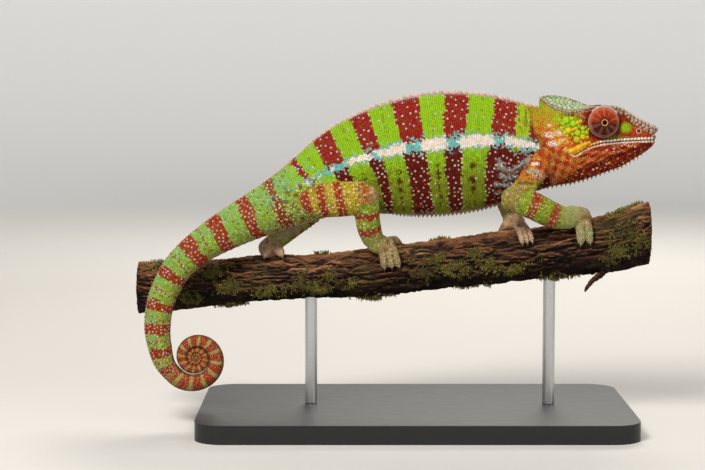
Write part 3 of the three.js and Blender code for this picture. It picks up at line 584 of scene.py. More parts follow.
def choose_dots(points, place, dice):
    """Scales that stand out as pale dots: scattered on the red bands, close together along their
    edges, and never next to each other."""
    edge, _ = trunk_bands(points, place, dice)
    red, _ = tail_red(points, place, dice)
    v, leg = place["v"], place["leg"] > 0.5
    trunk = (place["s"] < 2) & (place["head"] < 0.5) & ~leg
    tail = (place["s"] >= 2) & ~leg
    rim = np.abs(edge - 0.25) < 0.55
    chance = trunk * np.where(rim, 0.65, np.where(edge > 0, 0.20 + 0.15 * (v < 0), 0.012))
    gap = np.where(rim, np.where(v > 0.25, 2.1, 1.5), np.where(v > 0.25, 2.3, 1.9))
    edge_of_red = (red > 0.1) & (red < 0.9)
    chance = np.where(tail, np.where(edge_of_red, 0.6, np.where(red > 0.5, 0.45, 0.14)), chance)
    gap = np.where(tail, 1.45 - 0.5 * smooth(40, 140, place["s"]), gap)
    hip = (points[:, 0] < -46) & (points[:, 0] > -70) & (v < 0.3) & ~leg
    chance = np.where(hip, 0.4, chance)
    gap = np.where(hip, 1.3, gap)
    under = points[:, 2] - throat_fold(points[:, 0])
    throat = (place["head"] > 0.5) & ~leg & (points[:, 2] < mouth_line(points[:, 0]) - 1)
    row = np.cos(under * 2 * math.pi / 1.55)
    chance = np.where(throat, np.where(under > 0, 0.10, np.where(row > 0.35, 0.75, 0.02)), chance)
    gap = np.where(throat, 1.25, gap)
    hind_leg = place["leg_number"] > 1
    banded = leg & (place["leg_place"] < 2.1) & (hind_leg | (place["leg_place"] > 1.22))
    chance = np.where(banded, 0.34, np.where(leg, 0.06, chance))
    gap = np.where(leg, 1.5, gap) * rng.uniform(0.75, 1.4, len(points))
    chosen = np.zeros(len(points))
    taken = {}
    for i in rng.permutation(np.nonzero(rng.random(len(points)) < chance)[0]):
        cell = tuple(np.floor(points[i] / 2.8).astype(int))
        free = True
        for dx, dy, dz in NEIGHBOURS:
            for j in taken.get((cell[0] + dx, cell[1] + dy, cell[2] + dz), ()):
                apart = points[i] - points[j]
                free = free and apart @ apart > gap[i] * gap[i]
        if free:
            chosen[i] = 1
            taken.setdefault(cell, []).append(i)
    return chosen


def paint_trunk(over, points, place, dice, trunk, edge, middle):
    """Red ground with green bands, which turn olive on the flank and carry dark spots there. Red and
    green both darken towards the belly, partly the animal's colour and partly painted shade.
    """
    x, z = points[:, 0], points[:, 2]
    v, dot = place["v"], place["dot"]
    over("red", trunk)
    # Darker towards the belly, partly the animal's colour and partly painted shade: maroon over the red,
    # olive and dark specks over the green.
    over("maroon", trunk * smooth(0.30, 0.02, v + (dice[:, 0] - 0.5) * 0.12) * 0.85)
    green = smooth(0.25, -0.25, edge)
    over("lime", trunk * green)
    over("olive", trunk * green * smooth(0.1, -0.5, v + (dice[:, 1] - 0.5) * 0.4) * 0.85)
    over("dark", trunk * green * smooth(0.0, -0.6, v) * (0.10 + 0.30 * (dice[:, 2] < 0.3)))
    for at_x, at_z, size in GREEN_BAND_SPOTS:
        spot = blob(x, z, at_x, at_z, size * 1.05, size * 1.1, 0.4)
        over("maroon", trunk * green * spot * (dice[:, 1] < 0.85) * 0.9)
    fleck = (middle < 0.8) * (dice[:, 0] < 0.16) + smooth(-1.4, -0.3, edge) * (dice[:, 0] < 0.2)
    over("maroon", trunk * green * fleck * smooth(0.1, -0.3, v) * 0.7)
    over("olive", trunk * green * smooth(0.7, 0.2, middle) * (v > 0.2) * (dice[:, 0] < 0.45) * 0.8)
    over("yellow", trunk * green * smooth(40, 52, x) * (v > 0) * 0.2)
    over("lime", trunk * blob(x, z, 47.2, 135.8, 1.5, 2.2, 0.5) * (dice[:, 0] < 0.8) * 0.8)
    # Painted shade in two creases high on the trunk behind the neck.
    for crease_shade_x in (50.2, 53.4):
        over("dark", trunk * smooth(0.75, 0.3, np.abs(x - crease_shade_x)) * smooth(143, 146, z)
             * (dice[:, 2] < 0.7) * 0.6)
    over("pearl", trunk * dot * (0.50 + 0.42 * dice[:, 0]))
    over("turquoise", trunk * dot * (v > 0.2) * np.where(v < 0.42, 0.75, 0.15 + 0.3 * dice[:, 2]))
    over("lime", trunk * dot * (edge < 0.9) * 0.35 * (v < 0.2))
    # Loose pale skin in folds behind the foreleg.
    for line, wide in GREY_FOLDS:
        reach, _ = line_distance(points, line)
        fold = smooth(wide * 2.1, wide * 0.5, reach + (dice[:, 2] - 0.5) * 1.2) * trunk
        over("maroon", fold * 0.5)
        over("pearl", fold * (0.25 + 0.40 * (dice[:, 0] < 0.6)))
        over("turquoise", fold * (0.12 + 0.25 * (dice[:, 1] < 0.4)))
    over("orange", trunk * (edge > 0.4) * (dice[:, 1] > 0.97) * smooth(0.0, -0.4, v) * 0.4)


def paint_stripe(over, x, place, dice, trunk, edge):
    """Stripe along the flank: white where it crosses the green bands, turquoise between them."""
    v = place["v"]
    stripe_v = np.interp(x, [-60, -40, 44, 56, 64], [0.24, 0.17, 0.215, 0.1, -0.08])
    half = np.interp(x, [c for c, _ in STRIPE], [h for _, h in STRIPE])
    off = np.abs((v - stripe_v) * place["thick"]) + (dice[:, 2] - 0.5) * 1.9
    whiteness = smooth(2.6, 1.0, edge + (dice[:, 0] - 0.5) * 1.8)
    whiteness = np.maximum(whiteness, smooth(42.5, 44, x))
    dashes = 0.8 * smooth(0.55, 0.8, np.sin(x * 1.05)) * smooth(-34, -38, x)
    whiteness = whiteness * smooth(-36, -30, x) + dashes
    body_range = smooth(-58, -52, x) * smooth(64.5, 61, x) * trunk
    thin = 0.75 + 0.3 * whiteness
    over("turquoise", body_range * smooth(2.6, 0.8, off - half) * (dice[:, 1] < 0.42) * 0.9)
    over("turquoise", body_range * smooth(0.5, -0.1, off - half * thin))
    over("pearl", body_range * smooth(0.6, 0.1, off - half * thin) * whiteness * (dice[:, 1] > 0.4) * 0.7)
    over("white", body_range * smooth(0.10, -0.3, off - half * thin)
         * np.maximum(whiteness, dice[:, 0] < 0.12))
    over("pearl", body_range * smooth(0.1, -0.3, off - half * thin) * whiteness * dice[:, 1] * 0.35)


def paint_tail(over, points, place, dice):
    """Green with red bands, which turn to a red coil with thin yellow-green bands."""
    x, z = points[:, 0], points[:, 2]
    v, s, dot = place["v"], place["s"], place["dot"]
    tail = smooth(-6, 4, s) * (1 - place["head"])
    red_band, in_coil = tail_red(points, place, dice)
    over("lime", tail)
    over("olive", tail * smooth(-0.1, -0.95, v + (dice[:, 1] - 0.5) * 0.5) * 0.6)
    over("teal", tail * (0.08 + 0.12 * (dice[:, 2] < 0.35)))
    over("yellow", tail * smooth(60, 120, s) * 0.12)
    over("dark", tail * (0.10 + 0.16 * (dice[:, 1] < 0.35)))
    over("tan", tail * (0.08 + 0.55 * in_coil))
    over("tan", tail * smooth(-0.7, -0.95, v) * 0.5)
    speck = np.sin(x * 1.15 + z * 0.75) * np.sin(z * 1.5 - x * 0.55) + (dice[:, 0] - 0.5) * 0.3
    over("maroon", tail * smooth(0.70, 0.85, speck) * (1 - in_coil) * (dice[:, 2] < 0.75) * 0.65)
    over("red", tail * red_band * (0.94 - 0.2 * smooth(24, 4, s)))
    over("maroon", tail * red_band * smooth(30, 6, s) * 0.3)
    over("orange", tail * red_band * (0.06 + 0.10 * in_coil))
    over("pearl", tail * dot * np.where(red_band > 0.5, 0.50 + 0.35 * dice[:, 0], 0.5) * (1 - 0.5 * in_coil))
    over("turquoise", tail * (dot * 0.3 + 0.10 * smooth(-0.2, 0.5, v) * (1 - in_coil)) * (red_band < 0.5))
    hip = smooth(-46, -50, x) * smooth(-72, -66, x) * smooth(0.45, 0.15, v) * (1 - place["head"])
    mottle = np.sin(x * 0.8 + z * 0.45) * np.sin(z * 0.75 - x * 0.35 + 0.8) + (dice[:, 2] - 0.5) * 0.5
    over("maroon", hip * smooth(0.30, 0.55, mottle) * 0.55)
    over("red", hip * smooth(0.30, 0.55, mottle) * 0.35)
    over("pearl", hip * dot * 0.55)
    over("yellow", hip * dot * 0.25)
    over("turquoise", smooth(-48, -54, x) * smooth(-74, -66, x) * (v > 0) * (dice[:, 1] < 0.16) * 0.7)
    over("orange", tail * in_coil * 0.04)
    # Painted shade where the turns of the coil lie against each other.
    over("dark", tail * in_coil * smooth(0.62, 0.98, np.abs(v)) * 0.6)


# Fold at the back of the jaw and down the neck, as a line of x, z.
NECK_FOLD = [
    (56.0, 155), (56.4, 147), (58.0, 142.7), (60.8, 138), (63.4, 133.8), (67.3, 130.5), (68.2, 126),
    (67.2, 121.5),
]


def paint_head(over, points, place, dice):
    """Neck, cheek, snout, jaws, throat and casque."""
    x, z, head = points[:, 0], points[:, 2], place["head"]
    mouth = mouth_line(x)
    over("orange", head)
    neck = head * smooth(76, 66, x)
    patch = np.sin(x * 1.0 + z * 0.55) * np.sin(z * 0.95 - x * 0.45 + 0.6) + (dice[:, 1] - 0.5) * 0.3
    over("yellow", neck * smooth(136, 150, z + patch * 6) * 0.55)
    over("olive", neck * smooth(142, 156, z + patch * 4) * 0.55)
    over("lime", neck * smooth(142, 156, z) * smooth(-0.1, 0.25, patch) * 0.65)
    over("red", neck * smooth(150, 134, z) * smooth(0.15, -0.15, patch) * 0.75)
    over("tan", neck * smooth(146, 134, z) * smooth(0.42, 0.58, patch) * 0.5)
    # Painted shade in the fold at the back of the jaw and down the neck.
    over("dark", head * smooth(0.7, 0.2, line_distance(points, NECK_FOLD)[0]) * 0.4)
    for at_x, at_z, wide, high in ((64.6, 142.0, 2.4, 1.2), (69.2, 143.2, 1.6, 1.2), (66.4, 137.8, 2.2, 1.1),
                                   (64.6, 146.5, 1.0, 0.8), (71.0, 139.8, 1.2, 0.8)):
        spot = blob(x, z, at_x, at_z, wide * 1.15, high * 1.15, 0.5) * (dice[:, 0] < 0.85)
        over("white", head * spot * 0.85)
    # Cheek: red-orange ground, lime around the large plates.
    over("red", head * blob(x, z, 79, 146, 10, 8) * (dice[:, 0] < 0.6) * 0.8)
    over("lime", head * blob(x, z, 73, 149, 6.5, 5.0) * (dice[:, 1] < 0.75) * 0.9)
    over("yellow", head * blob(x, z, 71, 141, 5, 4) * (dice[:, 1] > 0.62) * 0.8)
    over("red", head * blob(x, z, 92.5, 148, 13.5, 10) * 0.75)
    over("red", head * blob(x, z, 90.4, 148, 9.8, 9.6, 0.12) * 0.6)
    over("maroon", head * blob(x, z, 90.4, 148, 8.9, 8.9, 0.1) * 0.5)
    # Snout: green patch ahead of the eye, brown-red ground, pale upper edge.
    snout = head * smooth(98, 103, x)
    over("red", snout * smooth(147.5, 142, z) * 0.6)
    over("maroon", head * blob(x, z, 104.0, 148.6, 5.5, 2.6, 0.4) * 0.4)
    over("lime", head * blob(x, z, 101.6, 145.4, 2.7, 2.4))
    over("olive", head * blob(x, z, 97, 140.6, 6.5, 1.3) * 0.6)
    # Ground under the beads below the crest ahead of the eye: tan, with maroon as painted shade in the gaps
    # between the beads.
    brow = head * smooth(-2.4, -0.8, z - crest_line(x)) * smooth(86, 92, x)
    over("maroon", brow * 0.7)
    over("tan", brow * (0.2 + 0.4 * (dice[:, 0] < 0.4)))
    # Lower jaw and throat: orange at the lip, deep red below with rows of orange dots.
    below = head * smooth(0.2, -1.0, z - mouth) * smooth(74, 81, x)
    over("orange", below)
    streak = np.sin((z - mouth) * 1.9 + 1.2 * np.sin(x * 0.45)) * np.sin(x * 0.7 - z * 0.3)
    streak = streak + (dice[:, 1] - 0.5) * 0.35
    over("red", below * smooth(0.30, -0.10, streak) * 0.75)
    over("maroon", below * smooth(-0.35, -0.6, streak) * 0.55)
    over("tan", below * smooth(0.40, 0.6, streak) * 0.45)
    over("pearl", below * (dice[:, 0] > 0.96) * 0.5)
    fold = throat_fold(x)
    deep = head * smooth(0.5, -0.4, z - fold)
    over("red", deep)
    over("maroon", deep * (0.15 + 0.35 * (dice[:, 0] < 0.4)))
    # Painted shade along the fold between the lower jaw and the throat.
    over("maroon", head * smooth(1.6, 0.2, np.abs(z - fold)) * smooth(76, 82, x) * 0.6)
    over("orange", deep * place["dot"] * 0.8)
    over("yellow", deep * place["dot"] * 0.35 * dice[:, 2])
    over("pearl", deep * place["dot"] * (dice[:, 1] > 0.8) * 0.4)
    # Back of the jaw and the side of the throat: gold and tan.
    rear = head * blob(x, z, 70.5, 127.5, 6.0, 6.5, 0.5)
    over("orange", rear * 0.6)
    over("yellow", rear * smooth(0.25, 0.45, patch) * 0.40)
    over("tan", rear * smooth(0.1, 0.3, patch) * 0.35)
    over("red", rear * smooth(-0.1, -0.35, patch) * 0.65)
    throat = head * smooth(123.5, 119.5, z) * smooth(72, 64, x)
    over("tan", throat * 0.55)
    over("orange", throat * 0.35)
    # Painted shade along the side crest behind the eye: dark ground in the gaps between its beads.
    over("dark", head * smooth(1.5, 0.6, np.abs(z - crest_line(x) + 0.3)) * smooth(94, 90, x) * 0.65)
    # Roof of the casque: blue-green plates.
    over("teal", head * smooth(0.0, 0.7, z - crest_line(x)) * smooth(88, 86, x))
    over("white", head * smooth(0.0, 0.7, z - crest_line(x)) * smooth(88, 86, x) * (dice[:, 0] < 0.3) * 0.3)


def paint_legs(over, points, place, dice):
    """Banded legs, orange knees and shoulders, and pale feet."""
    leg, t = place["leg"], place["leg_place"]
    # Which leg each point is on, in the order of LEGS.
    right_fore, left_fore, right_hind, left_hind = (place["leg_number"] == order for order in range(4))
    right, left, hind = right_fore | right_hind, left_fore | left_hind, right_hind | left_hind
    x, _, z = points.T
    # The inner sides are pale; the outer sides carry the colours.
    outer = smooth(-0.85, -0.25, place["leg_out"])
    over("tan", leg)
    over("pearl", leg * (1 - outer) * 0.45)
    on_leg = leg * outer * smooth(2.30, 1.98, t + (dice[:, 1] - 0.5) * 0.1)
    over("lime", on_leg * 0.8)
    over("olive", on_leg * (0.15 + 0.5 * (dice[:, 1] < 0.4)))
    over("orange", on_leg * hind * smooth(1.02, 0.85, t) * 0.28)
    over("yellow", on_leg * hind * smooth(1.02, 0.85, t) * (0.10 + 0.32 * (dice[:, 0] < 0.4)))
    over("dark", on_leg * (dice[:, 2] < 0.25) * 0.3)
    wave = t + 0.05 * (dice[:, 2] - 0.5)
    slanted = x + 0.22 * (z - 111) + 1.0 * (dice[:, 2] - 0.5)
    bands = np.zeros(len(points))
    for centre, half_width in ((-53.6, 2.3), (-45.2, 2.0), (-36.6, 2.0)):
        band = smooth(0.4, -0.4, np.abs(slanted - centre) - half_width)
        bands = np.maximum(bands, right_hind * (t < 0.92) * band)
    for centre, half_width in ((0.12, 0.08), (0.38, 0.08), (0.66, 0.08)):
        bands = np.maximum(bands, left_hind * smooth(0.03, -0.02, np.abs(wave - centre) - half_width))
    knee = hind * smooth(0.86, 0.90, t + (dice[:, 2] - 0.5) * 0.06) * smooth(1.16, 1.10, t)
    knee = np.where(right_hind, knee * smooth(105.5, 107.5, z + (dice[:, 0] - 0.5) * 2), knee)
    for centre, half_width in ((1.44, 0.05), (1.72, 0.07)):
        bands = np.maximum(bands, hind * smooth(0.03, -0.02, np.abs(wave - centre) - half_width))
    for centre, half_width in ((1.36, 0.055), (1.66, 0.06)):
        bands = np.maximum(bands, ~hind * smooth(0.03, -0.02, np.abs(wave - centre) - half_width))
    upper_arm = ~hind * smooth(0.97, 0.85, t)
    patches = np.sin(x * 0.95 + z * 0.35 + 1.2) * np.sin(z * 0.62 - x * 0.3) + (dice[:, 1] - 0.5) * 0.3
    over("red", on_leg * bands * 0.95)
    over("orange", on_leg * bands * (0.10 + 0.2 * (dice[:, 0] < 0.3)))
    over("orange", on_leg * knee * 0.85)
    over("red", on_leg * knee * (dice[:, 1] < 0.55) * 0.6)
    over("olive", on_leg * knee * (dice[:, 2] < 0.45) * 0.5)
    over("tan", on_leg * knee * smooth(-24.3, -21.3, x + (dice[:, 0] - 0.5) * 2) * right_hind * 0.65)
    over("pearl", on_leg * knee * (dice[:, 1] > 0.93) * 0.6)
    # Upper arm: orange-red at the shoulder, brown blotches and bare grey skin down to the elbow.
    shoulder = upper_arm * smooth(118.5, 122.0, z + (dice[:, 2] - 0.5) * 3)
    over("orange", on_leg * shoulder * 0.85)
    over("red", on_leg * shoulder * smooth(0.1, -0.15, patches) * 0.75)
    lower_arm = upper_arm * (1 - shoulder)
    over("yellow", on_leg * lower_arm * (0.15 + 0.2 * (dice[:, 0] < 0.5)))
    over("red", on_leg * lower_arm * smooth(0.05, 0.25, patches) * 0.55)
    over("dark", on_leg * lower_arm * smooth(0.05, 0.25, patches) * 0.3)
    over("tan", on_leg * lower_arm * smooth(0.0, -0.4, patches) * 0.45)
    if right_fore.any():
        arm = leg * right_fore
        over("white", arm * blob(x, z, 57.5, 128.2, 1.9, 0.9, 0.2) * 0.9)
        over("teal", arm * blob(x, z, 56.0, 124.6, 3.2, 1.5, 0.4) * (dice[:, 1] < 0.8) * 0.7)
        over("pearl", arm * blob(x, z, 59.3, 122.8, 2.4, 2.2, 0.4) * (dice[:, 1] < 0.75) * 0.7)
        over("turquoise", arm * blob(x, z, 58.0, 123.5, 3.0, 2.0, 0.4) * (dice[:, 2] < 0.3) * 0.5)
        over("maroon", arm * blob(x, z, 52.4, 119.0, 2.6, 0.9, 0.4) * 0.6)
        over("pearl", arm * blob(x, z, 50.0, 117.4, 1.6, 1.0, 0.4) * 0.4)
        over("red", arm * blob(x, z, 49.5, 115.3, 3.6, 0.8, 0.4) * 0.5)
    over("tan", on_leg * ~hind * left_fore * smooth(0.9, 1.4, t) * 0.65)
    elbow = leg * ~hind * outer * smooth(0.17, 0.06, np.abs(t - 1.03) + (dice[:, 2] - 0.5) * 0.06)
    over("tan", elbow * 0.45)
    over("dark", elbow * 0.15)
    over("orange", elbow * (0.08 + 0.12 * (dice[:, 0] < 0.3)))
    over("pearl", elbow * (dice[:, 1] < 0.1) * 0.6)
    over("pearl", on_leg * place["dot"] * (0.45 + 0.40 * dice[:, 1])
         * (0.45 + 0.55 * np.maximum(bands, knee)))
    over("yellow", on_leg * place["dot"] * (1 - np.maximum(bands, knee)) * 0.3)
    over("white", on_leg * place["dot"] * hind * (1 - np.maximum(bands, knee)) * 0.35)
    # Feet: pale tan and grey-green with soft brown blotches.
    foot = leg * smooth(2.0, 2.35, t + (dice[:, 1] - 0.5) * 0.1)
    wrist = leg * right * smooth(1.62, 2.05, t + (dice[:, 0] - 0.5) * 0.2) * (1 - foot)
    over("teal", wrist * right_fore * 0.5)
    over("tan", wrist * 0.5)
    over("tan", foot)
    over("pearl", foot * left * 0.22)
    over("orange", foot * left * 0.12)
    over("lime", foot * np.where(right_fore, 0.22, np.where(right_hind, 0.14, 0)))
    over("teal", foot * right_fore * 0.25)
    over("dark", foot * (0.17 + 0.03 * right_hind + 0.30 * (dice[:, 2] < 0.4)) * right)
    over("pearl", foot * (0.06 + 0.5 * (dice[:, 0] < 0.15)))
    blotch = np.sin(x * 1.1 + z * 0.6) * np.sin(z * 0.9 - x * 0.5 + 1.3)
    over("red", foot * smooth(0.15, 0.45, blotch) * (dice[:, 0] < 0.85) * 0.5 * smooth(3.2, 2.7, t))
    for at_x, at_z, wide, high in ((81.5, 102.5, 2.2, 1.2), (84.6, 99.6, 1.3, 2.0), (86.6, 96.8, 1.0, 1.6)):
        spot = blob(x, z, at_x, at_z, wide, high, 0.5) * (dice[:, 1] < 0.85)
        over("red", foot * right_fore * spot * 0.55)
    # Painted shade in the grooves between the toes that have grown together.
    over("dark", leg * smooth(0.3, 0.8, place["gap"]) * 0.75)


def paint(points, place, dice):
    """Shares of COLOURS at each point. dice holds three random numbers for each point."""
    share = np.zeros((len(points), len(COLOURS)))
    share[:, 0] = 1

    def over(name, mask):
        mask = np.clip(mask, 0, 1)[:, None]
        share[:] = share * (1 - mask)
        share[:, COLOURS.index(name)] += mask[:, 0]

    trunk = smooth(8, -4, place["s"]) * (1 - place["head"])
    edge, middle = trunk_bands(points, place, dice)
    paint_trunk(over, points, place, dice, trunk, edge, middle)
    paint_stripe(over, points[:, 0], place, dice, trunk, edge)
    paint_tail(over, points, place, dice)
    # Edges of the back and the belly.
    over("pearl", (1 - place["head"]) * smooth(0.95, 1.0, place["v"]) * smooth(8, -10, place["s"]) * 0.3)
    over("tan", trunk * smooth(-0.93, -0.99, place["v"]) * 0.7)
    paint_head(over, points, place, dice)
    paint_legs(over, points, place, dice)
    return share


# ---- Pigments -----------------------------------------------------------------------------------
# The twelve pigments, which lie over each other in skin and scales. Each mesh stores its shares of
# them at its points, and one group of nodes mixes them and makes each scale a little lighter or
# darker than the next.

class Nodes:
    """Short way to write a node tree."""

    def __init__(self, tree):
        self.tree = tree

    def add(self, kind, inputs=None, **settings):
        node = self.tree.nodes.new(kind)
        for key, value in settings.items():
            setattr(node, key, value)
        for key, value in (inputs or {}).items():
            if isinstance(value, bpy.types.NodeSocket):
                self.tree.links.new(value, node.inputs[key])
            else:
                node.inputs[key].default_value = value
        return node

    def math(self, operation, a, b=0.0):
        return self.add("ShaderNodeMath", {0: a, 1: b}, operation=operation).outputs[0]

    def linear(self, value, factor, plus):
        """The value times a factor, plus a constant."""
        inputs = {0: value, 1: factor, 2: plus}
        return self.add("ShaderNodeMath", inputs, operation="MULTIPLY_ADD").outputs[0]

    def mix(self, factor, a, b, blend="MIX"):
        node = self.add("ShaderNodeMix", data_type="RGBA", blend_type=blend)
        for socket, value in ((node.inputs[0], factor), (node.inputs[6], a), (node.inputs[7], b)):
            if isinstance(value, bpy.types.NodeSocket):
                self.tree.links.new(value, socket)
            else:
                socket.default_value = value
        return node.outputs[2]

    def attribute(self, name, output="Vector"):
        return self.add("ShaderNodeAttribute", attribute_name=name).outputs[output]

    def noise(self, scale, detail=3.0, vector=None, roughness=0.5):
        inputs = {"Scale": scale, "Detail": detail, "Roughness": roughness}
        if vector is not None:
            inputs["Vector"] = vector
        return self.add("ShaderNodeTexNoise", inputs).outputs["Fac"]

    def ramp(self, factor, stops):
        node = self.add("ShaderNodeValToRGB", {0: factor})
        ramp = node.color_ramp
        while len(ramp.elements) < len(stops):
            ramp.elements.new(0.5)
        for element, (place, colour) in zip(ramp.elements, stops):
            element.position = place
            element.color = colour
        return node.outputs["Color"]


def colour(r, g, b):
    return (r, g, b, 1.0)


def colour_group():
    """Node group: mixes the named colours by the shares stored on a mesh, in four vectors, and
    varies each scale a little by its own random tone."""
    group = bpy.data.node_groups.new("marking_colours", "ShaderNodeTree")
    group.interface.new_socket("Colour", in_out="OUTPUT", socket_type="NodeSocketColor")
    group.interface.new_socket("Tone", in_out="OUTPUT", socket_type="NodeSocketFloat")
    tree = Nodes(group)
    named = {
        "lime": (0.245, 0.450, 0.011), "olive": (0.190, 0.215, 0.013), "red": (0.255, 0.018, 0.008),
        "maroon": (0.070, 0.005, 0.003), "orange": (0.560, 0.115, 0.018), "yellow": (0.680, 0.430, 0.022),
        "white": (0.760, 0.670, 0.590), "turquoise": (0.150, 0.440, 0.420), "tan": (0.400, 0.280, 0.120),
        "teal": (0.330, 0.460, 0.235), "pearl": (0.560, 0.460, 0.410), "dark": (0.060, 0.030, 0.012),
    }
    total = None
    for index in range(4):
        shares = tree.add("ShaderNodeSeparateXYZ", {0: tree.attribute(f"shares_{index}")})
        for axis in range(3):
            tint = tree.add("ShaderNodeRGB")
            tint.outputs[0].default_value = colour(*named[COLOURS[index * 3 + axis]])
            tint.label = COLOURS[index * 3 + axis]
            scaled = tree.add("ShaderNodeVectorMath", {0: tint.outputs[0]}, operation="SCALE")
            group.links.new(shares.outputs[axis], scaled.inputs["Scale"])
            if total is None:
                total = scaled.outputs[0]
            else:
                added = tree.add("ShaderNodeVectorMath", {0: total, 1: scaled.outputs[0]}, operation="ADD")
                total = added.outputs[0]
    tone = tree.attribute("tone", "Fac")
    bright = tree.linear(tone, 0.34, 0.83)
    varied = tree.add("ShaderNodeHueSaturation", {"Color": total, "Value": bright})
    hue = tree.linear(tree.attribute("tone_hue", "Fac"), 0.035, 0.4825)
    group.links.new(hue, varied.inputs["Hue"])
    output = tree.add("NodeGroupOutput")
    group.links.new(varied.outputs[0], output.inputs["Colour"])
    group.links.new(tone, output.inputs["Tone"])
    return group


MARKINGS = colour_group()


def add_attribute(obj, name, values, kind="FLOAT_VECTOR"):
    attribute = obj.data.attributes.new(name, kind, "POINT")
    key = "vector" if kind == "FLOAT_VECTOR" else "value"
    attribute.data.foreach_set(key, np.asarray(values, np.float32).ravel())


def store_shares(obj, share, tone, tone_hue):
    for index in range(4):
        add_attribute(obj, f"shares_{index}", share[:, index * 3:index * 3 + 3])
    add_attribute(obj, "tone", tone, "FLOAT")
    add_attribute(obj, "tone_hue", tone_hue, "FLOAT")


# ---- Skin: folds and finish ---------------------------------------------------------------------
# The bare skin is soft and matt, and is darkest between the scales, where it is darkened as painted
# shade. It drops into folds at the neck, the jaw, the throat and behind the shoulder, and is creased at
# mouth, eyes and toes, which is done by pushing the surface in along its normals.

# Folds of loose skin below the jaw, on the throat and on the flank, as lines of x, z.
JAW_FOLD = [(101, 133.0), (91.5, 128.8), (82, 125.0), (77, 124.0)]
THROAT_FOLDS = [
    [(108, 133.2), (96, 126.5), (84, 122.0), (72, 119.2)],
    [(99, 125.8), (88, 121.6), (76, 118.6)],
]
FLANK_FOLDS = [
    [(39.5, 125.6), (42.9, 123.3), (46.6, 122.9), (51.2, 125.7), (55.8, 129.4)],
    [(40.5, 120.8), (44.6, 118.8), (48.5, 119.6)], [(38.4, 116.2), (43.8, 115.4), (48.0, 116.2)],
    [(48.0, 131.0), (52.0, 132.6), (57.0, 132.8), (62.0, 131.6)], [(-24, 121), (-26, 117), (-30, 113)],
]
# Middle of the nostril, and the eye turret: its middle, its radius and how far it stands out.
NOSTRIL = (108.1, 143.7)
EYE = {"centre": (90.4, 8.9, 148.1), "radius": 8.0, "depth": 7.3}


def carve(points, place):
    """Skin folds, grooves and hollows, as a push along each normal in millimetres."""
    push = np.zeros(len(points))
    calm = 1 - place["leg"]
    for line, depth, width in ([(NECK_FOLD, 0.9, 0.9), (JAW_FOLD, 0.9, 1.1)]
                               + [(fold, 0.45, 0.8) for fold in THROAT_FOLDS]
                               + [(fold, 0.7, 0.9) for fold in FLANK_FOLDS]):
        distance, t = line_distance(points, line)
        fade = smooth(0, 0.15, t) * smooth(1, 0.85, t)
        push -= calm * depth * fade * np.exp(-(distance / width) ** 2)
        push += calm * depth * 0.4 * fade * np.exp(-((distance - width * 1.9) / width) ** 2)
    mouth, t = line_distance(points, MOUTH)
    push -= place["head"] * 0.45 * np.exp(-(mouth / 0.6) ** 2) * smooth(0, 0.05, t)
    eye = np.hypot(points[:, 0] - EYE["centre"][0], points[:, 2] - EYE["centre"][2])
    on_side = smooth(4, 6, np.abs(points[:, 1])) * place["head"]
    push -= on_side * 0.45 * np.exp(-((eye - EYE["radius"] - 0.1) / 0.9) ** 2)
    push += on_side * 0.35 * np.exp(-((eye - EYE["radius"] - 2.6) / 1.0) ** 2)
    under_tip = smooth(112.5, 115, points[:, 0]) * smooth(1.6, 0.5, np.abs(points[:, 2] - 142.2))
    push -= place["head"] * under_tip * 0.9
    above_crest = points[:, 2] - crest_line(points[:, 0])
    roof = place["head"] * smooth(0.2, 1.2, above_crest) * smooth(89, 86, points[:, 0])
    push -= roof * 0.5 * smooth(0.3, 1.8, np.abs(points[:, 1]))
    bend = place["leg"] * smooth(0.55, 0.95, place["leg_place"]) * smooth(1.5, 1.1, place["leg_place"])
    push += bend * 0.22 * np.sin(points[:, 0] * 2.3 + points[:, 2] * 1.4)
    push -= 0.75 * smooth(0.2, 0.9, place["gap"])
    flank = calm * (1 - place["head"]) * smooth(0.9, 0.4, place["v"])
    push += flank * 0.10 * np.sin(points[:, 0] * 1.9 + 2 * np.sin(points[:, 2] * 0.16))
    return push


def points_of(obj):
    co = np.zeros(len(obj.data.vertices) * 3, np.float32)
    obj.data.vertices.foreach_get("co", co)
    return co.reshape(-1, 3).astype(float) / MM


def normals_of(obj):
    no = np.zeros(len(obj.data.vertices) * 3, np.float32)
    obj.data.vertex_normals.foreach_get("vector", no)
    return no.reshape(-1, 3).astype(float)


def set_points(obj, points_mm):
    obj.data.vertices.foreach_set("co", (points_mm * MM).astype(np.float32).ravel())
    obj.data.update()


skin_points = points_of(skin)
skin_place = locate(skin_points)
skin_normals = normals_of(skin)
skin_points = skin_points + skin_normals * carve(skin_points, skin_place)[:, None]
set_points(skin, skin_points)
skin_dice = np.full((len(skin_points), 3), 0.5)
skin_place["dot"] = np.zeros(len(skin_points))
even_tone = np.full(len(skin_points), 0.5)
store_shares(skin, paint(skin_points, skin_place, skin_dice), even_tone, even_tone)


def new_material(name):
    material = bpy.data.materials.new(name)
    material.use_nodes = True
    material.node_tree.nodes.clear()
    tree = Nodes(material.node_tree)
    shader = tree.add("ShaderNodeBsdfPrincipled")
    output = tree.add("ShaderNodeOutputMaterial")
    material.node_tree.links.new(shader.outputs[0], output.inputs[0])
    return material, tree, shader


def link(tree, socket, shader, name):
    tree.tree.links.new(socket, shader.inputs[name])


def add_bump(tree, shader, height, strength, distance):
    """Fine relief of a material."""
    bump = tree.add("ShaderNodeBump", {"Strength": strength, "Distance": distance, "Height": height})
    link(tree, bump.outputs[0], shader, "Normal")


material, tree, shader = new_material("skin")
group = tree.add("ShaderNodeGroup", node_tree=MARKINGS)
grain = tree.noise(900, 4)
